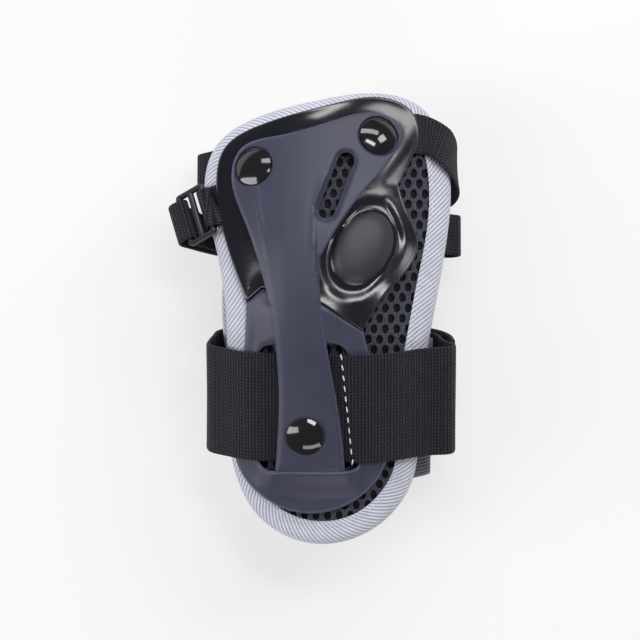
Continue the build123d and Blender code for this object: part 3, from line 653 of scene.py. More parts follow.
perforate, given, out = geometry_tree("perforated fabric", [
    ("Cell", "NodeSocketObject"), ("Columns", "NodeSocketInt"), ("Row Pairs", "NodeSocketInt"),
    ("Pitch", "NodeSocketFloat"), ("Row Spacing", "NodeSocketFloat"), ("Material", "NodeSocketMaterial")])
cell_info = put(perforate, "GeometryNodeObjectInfo")
perforate.links.new(given["Cell"], cell_info.inputs["Object"])
both = put(perforate, "GeometryNodeJoinGeometry")
for shift in (0.0, 0.5):
    grid = put(perforate, "GeometryNodeMeshGrid")
    width = calc(perforate, "MULTIPLY", given["Pitch"], calc(perforate, "SUBTRACT", given["Columns"], 1.0))
    pair = calc(perforate, "MULTIPLY", given["Row Spacing"], 2.0)
    length = calc(perforate, "MULTIPLY", pair, calc(perforate, "SUBTRACT", given["Row Pairs"], 1.0))
    for label, value in (("Size X", width), ("Size Y", length), ("Vertices X", given["Columns"]),
                         ("Vertices Y", given["Row Pairs"])):
        perforate.links.new(value, grid.inputs[label])
    move = put(perforate, "GeometryNodeTransform")
    by = put(perforate, "ShaderNodeCombineXYZ")
    perforate.links.new(calc(perforate, "MULTIPLY", given["Pitch"], shift), by.inputs["X"])
    perforate.links.new(calc(perforate, "MULTIPLY", pair, shift), by.inputs["Y"])
    perforate.links.new(by.outputs[0], move.inputs["Translation"])
    perforate.links.new(grid.outputs["Mesh"], move.inputs["Geometry"])
    place_cells = put(perforate, "GeometryNodeInstanceOnPoints")
    perforate.links.new(move.outputs[0], place_cells.inputs["Points"])
    perforate.links.new(cell_info.outputs["Geometry"], place_cells.inputs["Instance"])
    perforate.links.new(place_cells.outputs[0], both.inputs[0])
real = put(perforate, "GeometryNodeRealizeInstances")
weld = put(perforate, "GeometryNodeMergeByDistance")
weld.inputs["Distance"].default_value = 0.00002
dress = put(perforate, "GeometryNodeSetMaterial")
perforate.links.new(both.outputs[0], real.inputs[0])
perforate.links.new(real.outputs[0], weld.inputs["Geometry"])
perforate.links.new(weld.outputs[0], dress.inputs["Geometry"])
perforate.links.new(given["Material"], dress.inputs["Material"])
perforate.links.new(dress.outputs[0], out["Geometry"])


def run_tree(obj, tree, values):
    """Gives obj the tree's result as its plain mesh."""
    modifier = obj.modifiers.new(tree.name, "NODES")
    modifier.node_group = tree
    for item in tree.interface.items_tree:
        if item.in_out == "INPUT" and item.name in values:
            modifier[item.identifier] = values[item.name]
    shown = obj.evaluated_get(bpy.context.evaluated_depsgraph_get())
    mesh = bpy.data.meshes.new_from_object(shown)
    obj.modifiers.clear()
    obj.data = mesh
    return obj


# %% Cut the flat mesh to a panel and lay it on the arch
cell = mesh_cell()


def mesh_cover(name, side_z, outline, holes):
    base = bpy.data.objects.new(name, bpy.data.meshes.new(name))
    bpy.context.scene.collection.objects.link(base)
    middle = (outline.min(0) + outline.max(0)) / 2
    columns, pairs = 25, 24
    run_tree(base, perforate, {"Cell": cell, "Columns": columns, "Row Pairs": pairs, "Pitch": CELL_X * MM,
                               "Row Spacing": CELL_Y * MM, "Material": mesh_knit})
    mesh = base.data
    at = np.array([v.co for v in mesh.vertices]) / MM
    at[:, :2] += middle
    centre = np.array([tuple(f.center) for f in mesh.polygons]) / MM
    row = np.round((centre[:, 1] + (pairs - 1) * CELL_Y) / CELL_Y)
    best = None
    for change in (-1, 0, 1):
        r = row + change
        sx = -(columns - 1) / 2 * CELL_X + (r % 2) * CELL_X / 2
        hx = sx + np.round((centre[:, 0] - sx) / CELL_X) * CELL_X
        hy = -(pairs - 1) * CELL_Y + r * CELL_Y
        far = (centre[:, 0] - hx) ** 2 + (centre[:, 1] - hy) ** 2
        if best is None:
            best = [far, hx, hy]
        else:
            closer = far < best[0]
            best = [np.where(closer, n, o) for n, o in zip((far, hx, hy), best)]
    hubs = np.column_stack(best[1:]) + middle
    keep = depth_in(hubs, outline) > 4.4
    for hole in holes:
        keep &= depth_in(hubs, hole) < -1.0
    work = bmesh.new()
    work.from_mesh(mesh)
    work.verts.ensure_lookup_table()
    work.faces.ensure_lookup_table()
    for v, p in zip(work.verts, at):
        v.co = (p[0] * MM, p[1] * MM, float(side_z(p[0], p[1], p[2])) * MM)
    bmesh.ops.delete(work, geom=[f for f, k in zip(work.faces, keep) if not k], context="FACES")
    area = sum(f.calc_area() for f in work.faces)
    if side_z is not palm_z:
        bmesh.ops.reverse_faces(work, faces=work.faces)
    work.to_mesh(mesh)
    work.free()
    thick = base.modifiers.new("thickness", "SOLIDIFY")
    thick.thickness, thick.offset = 0.6 * MM, -1
    shown = base.evaluated_get(bpy.context.evaluated_depsgraph_get())
    solid = bpy.data.meshes.new_from_object(shown)
    base.modifiers.clear()
    base.data = solid
    for face in solid.polygons:
        face.use_smooth = True
    print(f"{name}: {keep.sum() // 24} cells, {area * 1e4:.1f} square cm of cloth")
    return base, area


palm_cover, palm_area = mesh_cover("palm_mesh", palm_z, PANEL, [shank_loop(i, 0, 5.0) for i in range(3)])
dorsal_cover, dorsal_area = mesh_cover("dorsal_mesh", dorsal_z, DORSAL,
                                       [ring_loop(x, y, 5.0) for x, y in STAY_RIVETS])
bpy.data.objects.remove(cell)
stands_for(palm_cover, ["palm_mesh_cover"])
stands_for(dorsal_cover, ["dorsal_mesh_cover"])

# %% [markdown]
# ## Foam pads and linings
# Behind the mesh lies a black foam about 4 mm thick. It bulges a little between the seams and rounds off to
# its edge, so its top is a height that rises with the distance from the edge. The brushed lining closes the
# inside. Both use the same outline as the panel, moved in under the binding.

# %% Foam and lining of both sides
for side, side_z, outline, holes in (
    ("palm", palm_z, PANEL, [shank_loop(i, -2, 6.0) for i in range(3)]),
    ("dorsal", dorsal_z, DORSAL, [ring_loop(x, y, 6.0) for x, y in STAY_RIVETS]),
):
    inset = (outline + inward(outline) * 1.3)[::2]
    foam = plate(f"{side}_foam", side_z, [inset], holes,
                 lambda x, y, d: (-1.05 - 1.1 * (1 - ramp(d, 0, 5))
                                  - 0.12 * np.cos(x / 2.1) * np.cos(y / 1.9) * ramp(d, 3, 8)),
                 lambda x, y, d: -4.85 + 0.7 * (1 - ramp(d, 0, 4)), foam_finish, step=2.4, rings=(0.5, 1.5,
                                                                                                  3.0))
    stands_for(foam, [f"{side}_foam_pad"])
    lining = plate(f"{side}_lining_knit", side_z, [inset], [],
                   lambda x, y, d: np.full(len(x), -5.08), lambda x, y, d: np.full(len(x), -5.55),
                   lining_finish, step=3.2, rings=(1.0, 2.5))
    stands_for(lining, [f"{side}_lining"])
    size = np.ptp(inset, axis=0) * MM * (1.08, 1.04)
    cloth = sum(f.area for f in lining.data.polygons) / 2
    print(side, "cloth cut", (size * 1000).round(), "mm")

# %% [markdown]
# ## Binding
# A pale twill tape is folded round the edge of each panel and sewn through. Its section is a narrow U: it
# starts on the face fabric, goes round the edge and ends on the lining. Sweeping that section along the
# outline makes the tape, and a slow ripple keeps it from looking machined.

# %% Tape swept round a panel
TAPE_OUT = [(8.5, -0.1), (8.42, 0.4), (8.0, 0.66), (7.0, 0.62), (6.2, 0.55), (4.8, 0.74), (3.2, 0.76),
            (1.9, 0.55),
            (0.9, 0.0), (0.3, -0.9), (0.02, -2.2), (0.0, -3.6), (0.25, -4.9), (0.9, -5.8), (2.2, -6.4),
            (4.4, -6.5), (6.6, -6.45), (8.2, -6.4), (8.5, -6.1)]
TAPE_IN = [(8.4, -5.75), (5.0, -5.75), (2.4, -5.5), (1.2, -4.4), (1.0, -3.0), (1.4, -1.2), (2.6, -0.35),
           (5.0, -0.1),
           (8.1, -0.12)]


def edge_tape(name, side_z, outline, node):
    profile = np.array(TAPE_OUT + TAPE_IN)
    n, m = len(outline), len(profile)
    into = inward(outline)
    s = np.linspace(0, 1, n, endpoint=False) * 2 * math.pi
    length = np.linalg.norm(outline - np.roll(outline, 1, axis=0), axis=1).sum()
    ripple = (0.5 * np.sin(31 * s) + 0.3 * np.sin(53 * s + 1) + 0.35 * np.sin(83 * s + 2)) * 0.16
    drift = (0.6 * np.sin(5 * s + 0.7) + 0.4 * np.sin(11 * s)) * 0.35
    points, uv = [], []
    girth = np.concatenate([[0], np.cumsum(np.linalg.norm(np.diff(profile, axis=0), axis=1))])
    for (inset, height), g in zip(profile, girth):
        swell = math.sin(math.pi * min(inset / 8.5, 1.0)) if height > -0.5 else 0.0
        ground = outline + into * (inset + drift * (inset / 8.5) ** 2)[:, None]
        h = height + ripple * swell
        points.append(np.column_stack([ground, side_z(ground[:, 0], ground[:, 1], h)]))
        uv.append(np.column_stack([s / (2 * math.pi) * length, np.full(n, g)]))
    faces = [(k * n + i, k * n + (i + 1) % n, ((k + 1) % m) * n + (i + 1) % n, ((k + 1) % m) * n + i)
             for k in range(m) for i in range(n)]
    tape = new_piece(name, np.vstack(points), faces, twill, uv=np.vstack(uv), sharp=70)
    stands_for(tape, [node])
    print(f"{name}: {length:.0f} mm of tape")
    return tape


edge_tape("palm_binding", palm_z, PANEL, "palm_edge_binding")
edge_tape("dorsal_binding", dorsal_z, DORSAL, "dorsal_edge_binding")

# %% [markdown]
# ## Rows of stitches
# Sewing shows as short threads at an even spacing. A Geometry Nodes tree turns a line into points, puts one
# small rounded thread on each, turned along the line, and joins them into one mesh. The same tree sews the
# binding and tacks the wide strap.

# %% Geometry Nodes that sew along a line
sew, given, out = geometry_tree("row of stitches", [
    ("Spacing", "NodeSocketFloat"), ("Thread Length", "NodeSocketFloat"), ("Thread Radius",
                                                                           "NodeSocketFloat"),
    ("Material", "NodeSocketMaterial")])
to_curve = put(sew, "GeometryNodeMeshToCurve")
to_points = put(sew, "GeometryNodeCurveToPoints", mode="LENGTH")
thread = put(sew, "GeometryNodeMeshIcoSphere")
thread.inputs["Subdivisions"].default_value = 2
thread.inputs["Radius"].default_value = 1.0
size = put(sew, "ShaderNodeCombineXYZ")
on_points = put(sew, "GeometryNodeInstanceOnPoints")
real = put(sew, "GeometryNodeRealizeInstances")
dress = put(sew, "GeometryNodeSetMaterial")
sew.links.new(given["Geometry"], to_curve.inputs["Mesh"])
sew.links.new(to_curve.outputs[0], to_points.inputs["Curve"])
sew.links.new(given["Spacing"], to_points.inputs["Length"])
sew.links.new(to_points.outputs["Points"], on_points.inputs["Points"])
sew.links.new(to_points.outputs["Rotation"], on_points.inputs["Rotation"])
sew.links.new(thread.outputs["Mesh"], on_points.inputs["Instance"])
sew.links.new(given["Thread Radius"], size.inputs["X"])
sew.links.new(given["Thread Radius"], size.inputs["Y"])
sew.links.new(calc(sew, "MULTIPLY", given["Thread Length"], 0.5), size.inputs["Z"])
sew.links.new(size.outputs[0], on_points.inputs["Scale"])
sew.links.new(on_points.outputs[0], real.inputs[0])
sew.links.new(real.outputs[0], dress.inputs["Geometry"])
sew.links.new(given["Material"], dress.inputs["Material"])
sew.links.new(dress.outputs[0], out["Geometry"])


def stitches(name, lines, spacing, length, radius, material):
    mesh = bpy.data.meshes.new(name)
    points, edges = [], []
    for line in lines:
        edges += [(len(points) + i, len(points) + i + 1) for i in range(len(line) - 1)]
        points += [tuple(p) for p in np.asarray(line) * MM]
    mesh.from_pydata(points, edges, [])
    row = bpy.data.objects.new(name, mesh)
    bpy.context.scene.collection.objects.link(row)
    run_tree(row, sew, {"Spacing": spacing * MM, "Thread Length": length * MM, "Thread Radius": radius * MM,
                        "Material": material})
    for face in row.data.polygons:
        face.use_smooth = True
    stands_for(row, [])
    return row


def seam_on(side_z, outline, inset, height):
    ground = outline + inward(outline) * inset
    ground = np.vstack([ground, ground[:1]])
    return np.column_stack([ground, side_z(ground[:, 0], ground[:, 1], height)])


stitches("palm_binding_stitches", [seam_on(palm_z, PANEL, 6.9, 0.70)], 2.3, 1.7, 0.17, pale_thread)
stitches("dorsal_binding_stitches", [seam_on(dorsal_z, DORSAL, 6.9, 0.70)], 2.3, 1.7, 0.17, pale_thread)

# %% [markdown]
# ## Skid plate
# The skid plate takes the fall, and slides. It is a thin, polished moulding with a flared rim, a scooped
# middle and an oval button that stands out on the thumb side. The CAD plate has sharp edges and an even
# thickness, so it is made again with the same outline: the height of each point comes from its distance to
# the edge and from the oval, which keeps every curve smooth enough for a polished finish.

# %% Outlines of the skid plate and the splint
def joined(*runs):
    line = np.vstack([np.array(r, float) for r in runs])
    keep = np.linalg.norm(line - np.roll(line, 1, axis=0), axis=1) > 0.02
    line = line[keep]
    area = (line[:, 0] * np.roll(line[:, 1], -1) - np.roll(line[:, 0], -1) * line[:, 1]).sum()
    return line if area < 0 else line[::-1]


def straight(points, step=1.2):
    p = np.array(points, float)
    runs = [np.linspace(a, b, max(2, int(np.linalg.norm(b - a) / step)), endpoint=False) for a,
            b in zip(p, p[1:])]
    return np.vstack(runs + [p[-1:]])


SKID = joined(
    smooth_line([(-25.9, 6.2), (-33.4, 28.5), (-37.2, 50), (-34.3, 64), (-20.5, 72.9), (6.8, 80.8),
                 (26.5, 83.1),
                 (36.9, 77.6), (39.2, 69.5), (36.3, 60), (31.3, 50.2)], 150, measured=2),
    smooth_line([(31.3, 50.2), (34.6, 40), (38.6, 27.5), (36, 20), (28.3, 11.3), (17.9, -4.5)], 60,
                measured=2),
    straight([(17.9, -4.5), (2.5, 5.5), (-19.8, 11.6), (-25.9, 6.2)]))
YOKE = joined(
    smooth_line([(-16.9, 4.8), (-21.2, 21.3), (-27, 37.8), (-31.4, 54), (-27.8, 64), (-14.7, 68.6),
                 (6.8, 74.4),
                 (24, 77.1), (32.3, 72.2), (30.5, 62.9), (19.7, 49.3), (8.2, 33.6), (1.4,
                                                                                     22)], 190, measured=2),
    smooth_line([(1.4, 22), (1.7, 14), (2.3, 4.8)], 16, measured=2), straight([(2.3, 4.8), (-16.9, 4.8)]))
BAR = joined(
    smooth_line([(-22.5, 42), (-19.8, 26), (-16.9, 4.8), (-14.3, -15), (-14, -43), (-15.4, -62)], 90,
                measured=2),
    straight([(-15.4, -62), (11.6, -62)]),
    smooth_line([(11.6, -62), (9.6, -40), (5.6, -17), (2.3, 4.8), (1.4, 22), (1.8, 42)], 90, measured=2),
    straight([(1.8, 42), (-22.5, 42)]))
PLATE = joined(
    smooth_line([(-25.7, 5.7), (-26.6, -12), (-29.6, -35), (-29.6, -54), (-21.9, -65.5), (-1.9, -73.4),
                 (17.5, -66.8), (27, -53), (24.5, -30), (18.1, -4.6)], 170, measured=2),
    straight([(18.1, -4.6), (2.5, 5.1), (-19.7, 11.2), (-25.7, 5.7)]))
OPENING = smooth_line([(8, -9.8), (10.8, -11.2), (12.6, -15), (14.4, -33), (16.6, -52), (15.6, -56),
                       (11, -57.4),
                       (0, -57.6), (-14, -57.4), (-19.2, -56.2), (-21.3, -52), (-21.5, -34), (-21.3, -15),
                       (-19.6, -11), (-15, -9.8), (-6, -9.6), (3, -9.6)], 150, closed=True, measured=2)
print("skid", np.ptp(SKID, axis=0).round(1), "splint plate", np.ptp(PLATE, axis=0).round(1), "mm")


# %% The skid plate
BUTTON_X, BUTTON_Y, BUTTON_TURN = 17.9, 26.3, math.radians(62)


def button_place(x, y):
    """How far out a point is, as a share of the button's oval, which is 1 on its edge."""
    u = (x - BUTTON_X) * math.cos(BUTTON_TURN) + (y - BUTTON_Y) * math.sin(BUTTON_TURN)
    v = -(x - BUTTON_X) * math.sin(BUTTON_TURN) + (y - BUTTON_Y) * math.cos(BUTTON_TURN)
    return np.sqrt((u / 13.5) ** 2 + (v / 9.5) ** 2)


def skid_top(x, y, d):
    share = button_place(x, y)
    flare = 1.1 * np.clip(1 - d / 6.8, 0, 1) ** 2
    scoop = -1.1 * np.exp(-((share - 1.22) / 0.26) ** 2) * ramp(d, 3, 7)
    dome = 0.5 + 1.9 * np.sqrt(np.clip(1 - share**2, 0, 1)) ** 1.3
    button = np.where(share < 1.0, dome, 0.5 * (1 - ramp(share, 1.0, 1.12)))
    return 2.75 + flare + scoop + button - rounded(d, 0.55)


SLOT_SKID = slot_loop(8.0, 49.8, 27.2, 7.2, 68.5)
skid = plate("skid_shell", palm_z, [SKID], [SLOT_SKID, *[shank_loop(i, 2, 2.5) for i in range(2)]], skid_top,
             lambda x, y, d: np.full(len(x), 0.95) + 0.25 * np.exp(-(d / 1.2) ** 2), skid_finish, step=1.1,
             rings=(0.1, 0.3, 0.6, 1.1, 1.8, 2.8))
place = np.array([v.co[:2] for v in skid.data.vertices]) / MM
satin = 1 - ramp(button_place(place[:, 0], place[:, 1]), 1.0, 1.08)
skid.data.attributes.new("satin", "FLOAT", "POINT").data.foreach_set("value", satin.astype(np.float32))
stands_for(skid, ["skid_plate"])

# %% [markdown]
# ## Splint
# The splint is one moulding: a yoke that is riveted to the skid plate, a raised bar that bridges the wide
# strap, and a lower plate under it. Two raised lines run down the bar. The upper body and the lower plate
# each become a rounded shell of the same piece, with the heights that the CAD splint has.

# %% The splint's upper body and lower plate
LEFT_LINE = smooth_line([(-22.5, 50), (-21.3, 42), (-19.8, 30.6), (-18.6, 17.8), (-16.2, -3.8)], 60,
                        measured=2)
RIGHT_LINE = smooth_line([(3.4, 53), (1.2, 46), (-0.4, 36), (-0.5, 24.9), (1.0, 6.9)], 60, measured=2)


def line_distance(x, y, line):
    return np.sqrt(((x[:, None] - line[None, :, 0]) ** 2 + (y[:, None] - line[None, :, 1]) ** 2).min(1))



def body_top(x, y, d):
    p = np.column_stack([x, y])
    in_bar = ramp(depth_in(p, BAR), -0.2, 1.8) * (1 - ramp(y, 26, 41))
    h = 5.5 + 0.8 * in_bar - 1.5 * (1 - ramp(y, -62, -56))
    between = (1 - ramp(np.abs(x + 8 - (y - 10) * 0.02), 3.0, 9.0)) * ramp(y, -30, 0) * (1 - ramp(y, 38, 56))
    h = h + 0.25 * between
    for line in (LEFT_LINE, RIGHT_LINE):
        h = h + 0.45 * np.exp(-(line_distance(x, y, line) / 0.9) ** 2)
    at = np.column_stack([x, y, palm_z(x, y, 5.2)])
    for index, (foot, out) in enumerate(PALM_OUT):
        away = at - foot
        r = np.linalg.norm(away - (away @ out)[:, None] * out, axis=1)
        seat = 4.2 if index < 2 else 5.9
        h = np.where(r < 8.4, np.minimum(h, seat + (h - seat) * ramp(r, 7.25, 8.2)), h)
    slot_rim = -depth_in(p, SLOT_TOP)
    h = h - 1.3 * (1 - ramp(slot_rim, 0.0, 2.0))
    return h - rounded(d, 1.1)


def body_bottom(x, y, d):
    return 3.45 - 0.7 * (1 - ramp(y, -2, 8))


def plate_top(x, y, d):
    """The lower plate rises in a wide fillet to the bar at both of the bar's ends."""
    beside = depth_in(np.column_stack([x, y]), BAR)
    low_end = 3.55 * (1 - ramp(y, -57.5, -53)) * ramp(y, -71, -58) ** 0.7
    mound = ramp(beside, -8.0, 0.8) * np.maximum(low_end, 2.2 * ramp(y, -12, -7) * (1 - ramp(y, 2, 12)))
    return 2.9 + mound + 0.3 * np.exp(-((d - 1.4) / 1.3) ** 2) - rounded(d, 0.9)


def head_loop(index, radius, height=5.2):
    """A ring round a rivet's axis, seen from above."""
    foot, out = PALM_OUT[index]
    a = -np.linspace(0, 2 * math.pi, 72, endpoint=False)
    side = unit(np.cross(out, (0, 1, 0)))
    up = np.cross(side, out)
    ring = foot + out * height + radius * (np.cos(a)[:, None] * side + np.sin(a)[:, None] * up)
    return ring[:, :2]


HEAD_RINGS = [head_loop(i, r) for i in range(3) for r in (7.2, 7.45, 7.75, 8.1, 8.6)]
SLOT_TOP = slot_loop(8.0, 49.8, 26.4, 6.4, 68.5)
upper = plate("palm_splint_body", palm_z, [YOKE, BAR], [SLOT_TOP, *[shank_loop(i, 4, 2.5) for i in range(3)]],
              body_top, body_bottom, splint_finish, step=1.1, rings=(0.1, 0.35, 0.7, 1.15,
                                                                     1.8), more=HEAD_RINGS)
lower = plate("palm_splint_plate", palm_z, [PLATE], [OPENING, shank_loop(2, 2, 2.5)],
              plate_top,
              lambda x, y, d: np.full(len(x), 0.85), splint_finish, step=1.4, rings=(0.1, 0.35, 0.7, 1.15,
                                                                                     1.8))
stands_for(upper, ["palm_splint"])
stands_for(lower, ["palm_splint"])

# %% [markdown]
# ## Straps
# Webbing bends along its length and hardly at all across it. A strap is therefore a line of stations, each
# with a middle and a direction across, and a flat section with rounded selvedges that is carried along them.
# Its UV map runs along the strap in real lengths, so that the ribs stay even round each fold.

# %% Carry a strap's section along its stations
def webbing(name, centres, sides, width, thick, material, ripple=0.0):
    run = unit(np.gradient(centres, axis=0))
    side = unit(sides - run * (sides * run).sum(1)[:, None])
    out = np.cross(side, run)
    t, half = thick, np.broadcast_to(np.asarray(width) / 2.0, (len(centres),))
    edge = [(0.0, 0.0), (0.12 * t, 0.55), (0.38 * t, 0.9), (0.8 * t, 1.0)]
    across = [(-1, inset, rise) for inset, rise in edge] + [(f, 0.0, 1.0)
                                                            for f in np.linspace(-0.85, 0.85, 13)]
    across += [(1, inset, rise) for inset, rise in edge[::-1]]
    profile = across + [(f, i, -r) for f, i, r in across[::-1][1:-1]]
    at = np.concatenate([[0], np.cumsum(np.linalg.norm(np.diff(centres, axis=0), axis=1))])
    m, n = len(profile), len(centres)
    points, uv = [], []
    for i in range(n):
        for f, inset, rise in profile:
            a = f * (half[i] - inset)
            wave = ripple * math.sin(at[i] * 0.55 + a * 0.11) * math.sin(at[i] * 0.13 + 1)
            points.append(centres[i] + side[i] * a + out[i] * (rise * t / 2 + wave))
            uv.append((at[i], a))
    faces = [(i * m + k, i * m + (k + 1) % m, (i + 1) * m + (k + 1) % m, (i + 1) * m + k)
             for i in range(n - 1) for k in range(m)]
    faces += [tuple(range(m)), tuple((n - 1) * m + k for k in range(m))]
    print(f"{name}: {at[-1]:.0f} mm long, {2 * half.mean():.0f} mm wide")
    return new_piece(name, points, faces, material, uv=uv, sharp=60)


# %% Wide forearm strap: dorsal end, thumb side, under the bar, round and on to its flap
def forearm_stations(shift, offset):
    d, p = dorsal_rho, palm_rho
    pts = [(22.5, d(22.5, 2.1)), (32, d(32, 2.2)), (40.6, 72.6), (45.2, 78.0), (47.3, 84.0), (48.8, 89.0),
           (52.2, 94.6), (51.2, 98.7), (46.5, 100.4)]
    pts += [(x, p(x, h)) for x, h in ((40, 3.2), (31, 3.7), (24, 4.0))]
    pts += [(x + shift, p(x + shift, h)) for x, h in ((16.5, 4.1), (12.4, 4.0), (9, 2.7), (5.4, 1.4))]
    pts += [(2 + shift / 2, p(2 + shift / 2, 1.3))]
    pts += [(x, p(x, h)) for x, h in ((-4, 1.3), (-9.5, 1.3), (-13.5, 1.4), (-18, 2.7), (-23, 4.0), (-30.4,
                                                                                                     4.0))]
    pts += [(-35.4, 100.1), (-39.0, 96.8), (-40.1, 92.6), (-39.2, 86.0), (-37.8, 79.0), (-35.6, 72.6)]
    pts += [(x, d(x, h)) for x, h in ((-30, 2.6), (-20, 3.6), (-10, 4.2), (4, 4.2), (18, 4.3), (28, 4.7),
                                      (37, 5.0))]
    pts += [(44.4, 71.3), (48.2, 75.2)]
    line = smooth_line([(float(x), float(r)) for x, r in pts], 330, measured=2)
    return np.array([bend_point(-TILT_FOREARM, offset, x, r) for x, r in line])


upper_edge, lower_edge = forearm_stations(0.0, 0.5), forearm_stations(4.6, 42.5)
forearm = webbing("forearm_webbing", (upper_edge + lower_edge) / 2, lower_edge - upper_edge, 42.0, 1.6,
                  wide_webbing, 0.12)
stands_for(forearm, ["forearm_strap"])

FLAP = [(48.4, 75.5), (50.4, 79.4), (51.6, 83.6), (52.1, 88.0)]


def section_strap(name, points, low, high, thick, material, lift=0.0, angle=-TILT_FOREARM, count=40):
    """A strap that is straight across, in a section plane through the bend axis."""
    line = smooth_line(points, count, measured=2)
    run = unit(np.gradient(line, axis=0))
    line = line + np.column_stack([-run[:, 1], run[:, 0]]) * lift
    centres = np.array([bend_point(angle, (low + high) / 2, x, r) for x, r in line])
    sides = np.tile([0.0, -math.cos(angle), math.sin(angle)], (count, 1))
    return webbing(name, centres, sides, high - low, thick, material)


flap_bend = ("guard", "forearm_flap", tuple(bend_point(-TILT_FOREARM, 21.5, 48.4, 75.5) * MM),
             tuple(bend_point(-TILT_FOREARM, 21.5, 49.6, 77.6) * MM))
flap = section_strap("forearm_flap_webbing", FLAP, 0.5, 42.5, 1.6, wide_webbing)
stands_for(flap, ["forearm_strap_flap"], bend=flap_bend)
hooks = section_strap("forearm_hooks", smooth_line(FLAP, 60, measured=2)[14:54:4], 3.5, 39.5, 0.8,
                      hook_tape, lift=1.4)
stands_for(hooks, ["forearm_hook_patch"], "forearm_flap")
loops = section_strap("forearm_loops", [(45.2, 78.0), (46.4, 81.0), (47.3, 84.0), (48.0, 86.4)], 3.5, 39.5,
                      0.8,
                      loop_tape, lift=-1.4)
stands_for(loops, ["forearm_loop_patch"])

# %% Side loops of dark elastic at the hand
thumb = section_strap(
    "thumb_elastic",
    [(43.0, float(palm_rho(43.0, -7.5))), (47.6, float(palm_rho(47.6, -8.3))), (51.8, 75.8), (54.7, 74.0),
     (52.6, 72.1), (46, 73.0), (38.3, 75.4)], -8, 8, 1.2, narrow_webbing, angle=math.radians(13.5), count=60)
stands_for(thumb, ["thumb_strap"])
finger = section_strap(
    "little_finger_elastic",
    [(-35.0, float(palm_rho(-35.0, -7.5))), (-38.8, float(palm_rho(-38.8, -8.3))), (-42.4, 78.0),
     (-44.1, 75.9),
     (-42.2, 74.1), (-38.6, 74.2), (-35.4,
                                    75.6)], -23.5, -7.5, 1.2, narrow_webbing, angle=TILT_HAND, count=60)
stands_for(finger, ["little_finger_strap"])

# %% [markdown]
# ## Hand strap, buckle and tab
# The narrow strap starts under the skid plate at the thumb rivet, goes round the back of the hand, comes up
# beside the panel, turns over the buckle's outer bar and hangs down again as its tail. The strap bends
# between the guard and the buckle, and its tail bends off the buckle. The buckle itself keeps its CAD shape.

# %% Places on the buckle
TAB_BAR = on_side(palm_z, -40.4, 41.4, 4.8)[0]
OUT_U = unit(np.array([-0.76, -0.43, -0.49]))
HINT_V = np.array([-0.33, 0.85, -0.41])
ALONG_V = unit(HINT_V - OUT_U * (HINT_V @ OUT_U))
UP_N = np.cross(ALONG_V, OUT_U)


def at_buckle(u, n):
    return TAB_BAR + OUT_U * u + UP_N * n


def buckle_strap(name, points, width, thick, material, lift=0.0, count=50):
    line = smooth_line(points, count, measured=2)
    run = unit(np.gradient(line, axis=0))
    line = line + np.column_stack([-run[:, 1], run[:, 0]]) * lift
    centres = np.array([at_buckle(u, n) for u, n in line])
    return webbing(name, centres, np.tile(ALONG_V, (count, 1)), width, thick, material)


# %% The hand strap up to the buckle
def strap_over(stations, count, width, thick, material, name):
    rows = np.array([[*p, *n] for p, n in stations], float)
    line = smooth_line(rows, count, measured=3)
    centres, out = line[:, :3], unit(line[:, 3:])
    sides = np.cross(unit(np.gradient(centres, axis=0)), out)
    return webbing(name, centres, sides, width, thick, material, 0.05)


stations = [on_side(palm_z, *s) for s in (
    (18.5, 68.8, 1.45), (23.4, 69.1, 1.45), (28.4, 69.4, 1.45), (33.5, 69.5, 1.45), (38.6, 69.6, 1.45),
    (44.0, 68.2, 2.2), (48.8, 65.2, 3.2))]
stations += [((52.0, 61.2, 34.0), (0.9, 0.1, 0.35)), ((53.3, 57.2, 29.0), (1, 0, 0)),
             ((52.7, 53.2, 23.6), (0.85, -0.1, -0.5)), ((49.0, 49.2, 19.6), (0.5, -0.2, -0.8))]
stations += [on_side(dorsal_z, *s) for s in (
    (42.0, 45.4, 3.4), (34.0, 42.0, 2.9), (22.0, 38.8, 4.7), (13.0, 37.4, 5.0), (4.0, 36.6, 5.0), (-5.0,
                                                                                                   36.0, 5.0),
    (-13.0, 35.7, 4.7), (-24.0, 35.4, 3.4), (-32.0, 35.4, 2.5))]
stations += [((-37.0, 35.7, 25.2), (-0.72, 0.0, -0.66))]
stations += [(at_buckle(13.3, n), OUT_U) for n in (-19, -12, -6)]
hand = strap_over(stations, 260, 16.0, 1.2, narrow_webbing, "hand_webbing")
stands_for(hand, ["hand_strap"],
           bend=("guard", "buckle", tuple(at_buckle(13.3, -19) * MM), tuple(at_buckle(13.3, -6.5) * MM)))

# %% The fold over the buckle with its tail
fold = buckle_strap("hand_fold_webbing", [
    (13.3, -5.8), (12.8, -3.3), (11.2, -1.95), (9.3, -1.3), (8.8, 0), (9.3, 1.3), (11.2, 1.95), (13.2, 2.1),
    (15.4, 1.2), (16.4, -0.8), (16.5, -3.2), (16.6, -10), (16.6, -17), (16.4, -23)],
                    16.0, 1.2, narrow_webbing, count=110)
stands_for(fold, ["hand_strap_loop", "hand_strap_tail"],
           bend=("buckle", "hand_strap_end", tuple(at_buckle(16.5, -3.2) * MM),
                 tuple(at_buckle(16.5, -7.0) * MM)))
tail_hooks = buckle_strap("hand_hooks", [(16.5, -7.4), (16.6, -12), (16.5, -20)], 14.0, 0.8, hook_tape,
                          lift=-1.05, count=16)
stands_for(tail_hooks, ["hand_hook_patch"], "hand_strap_end")
tail_loops = buckle_strap("hand_loops", [(14.35, -8.6), (14.35, -13), (14.35, -19)], 14.0, 0.8, loop_tape,
                          count=16)
stands_for(tail_loops, ["hand_loop_patch"])

# %% The tab that holds the buckle's inner bar
def tab_row(point, across):
    return [*point, *across]


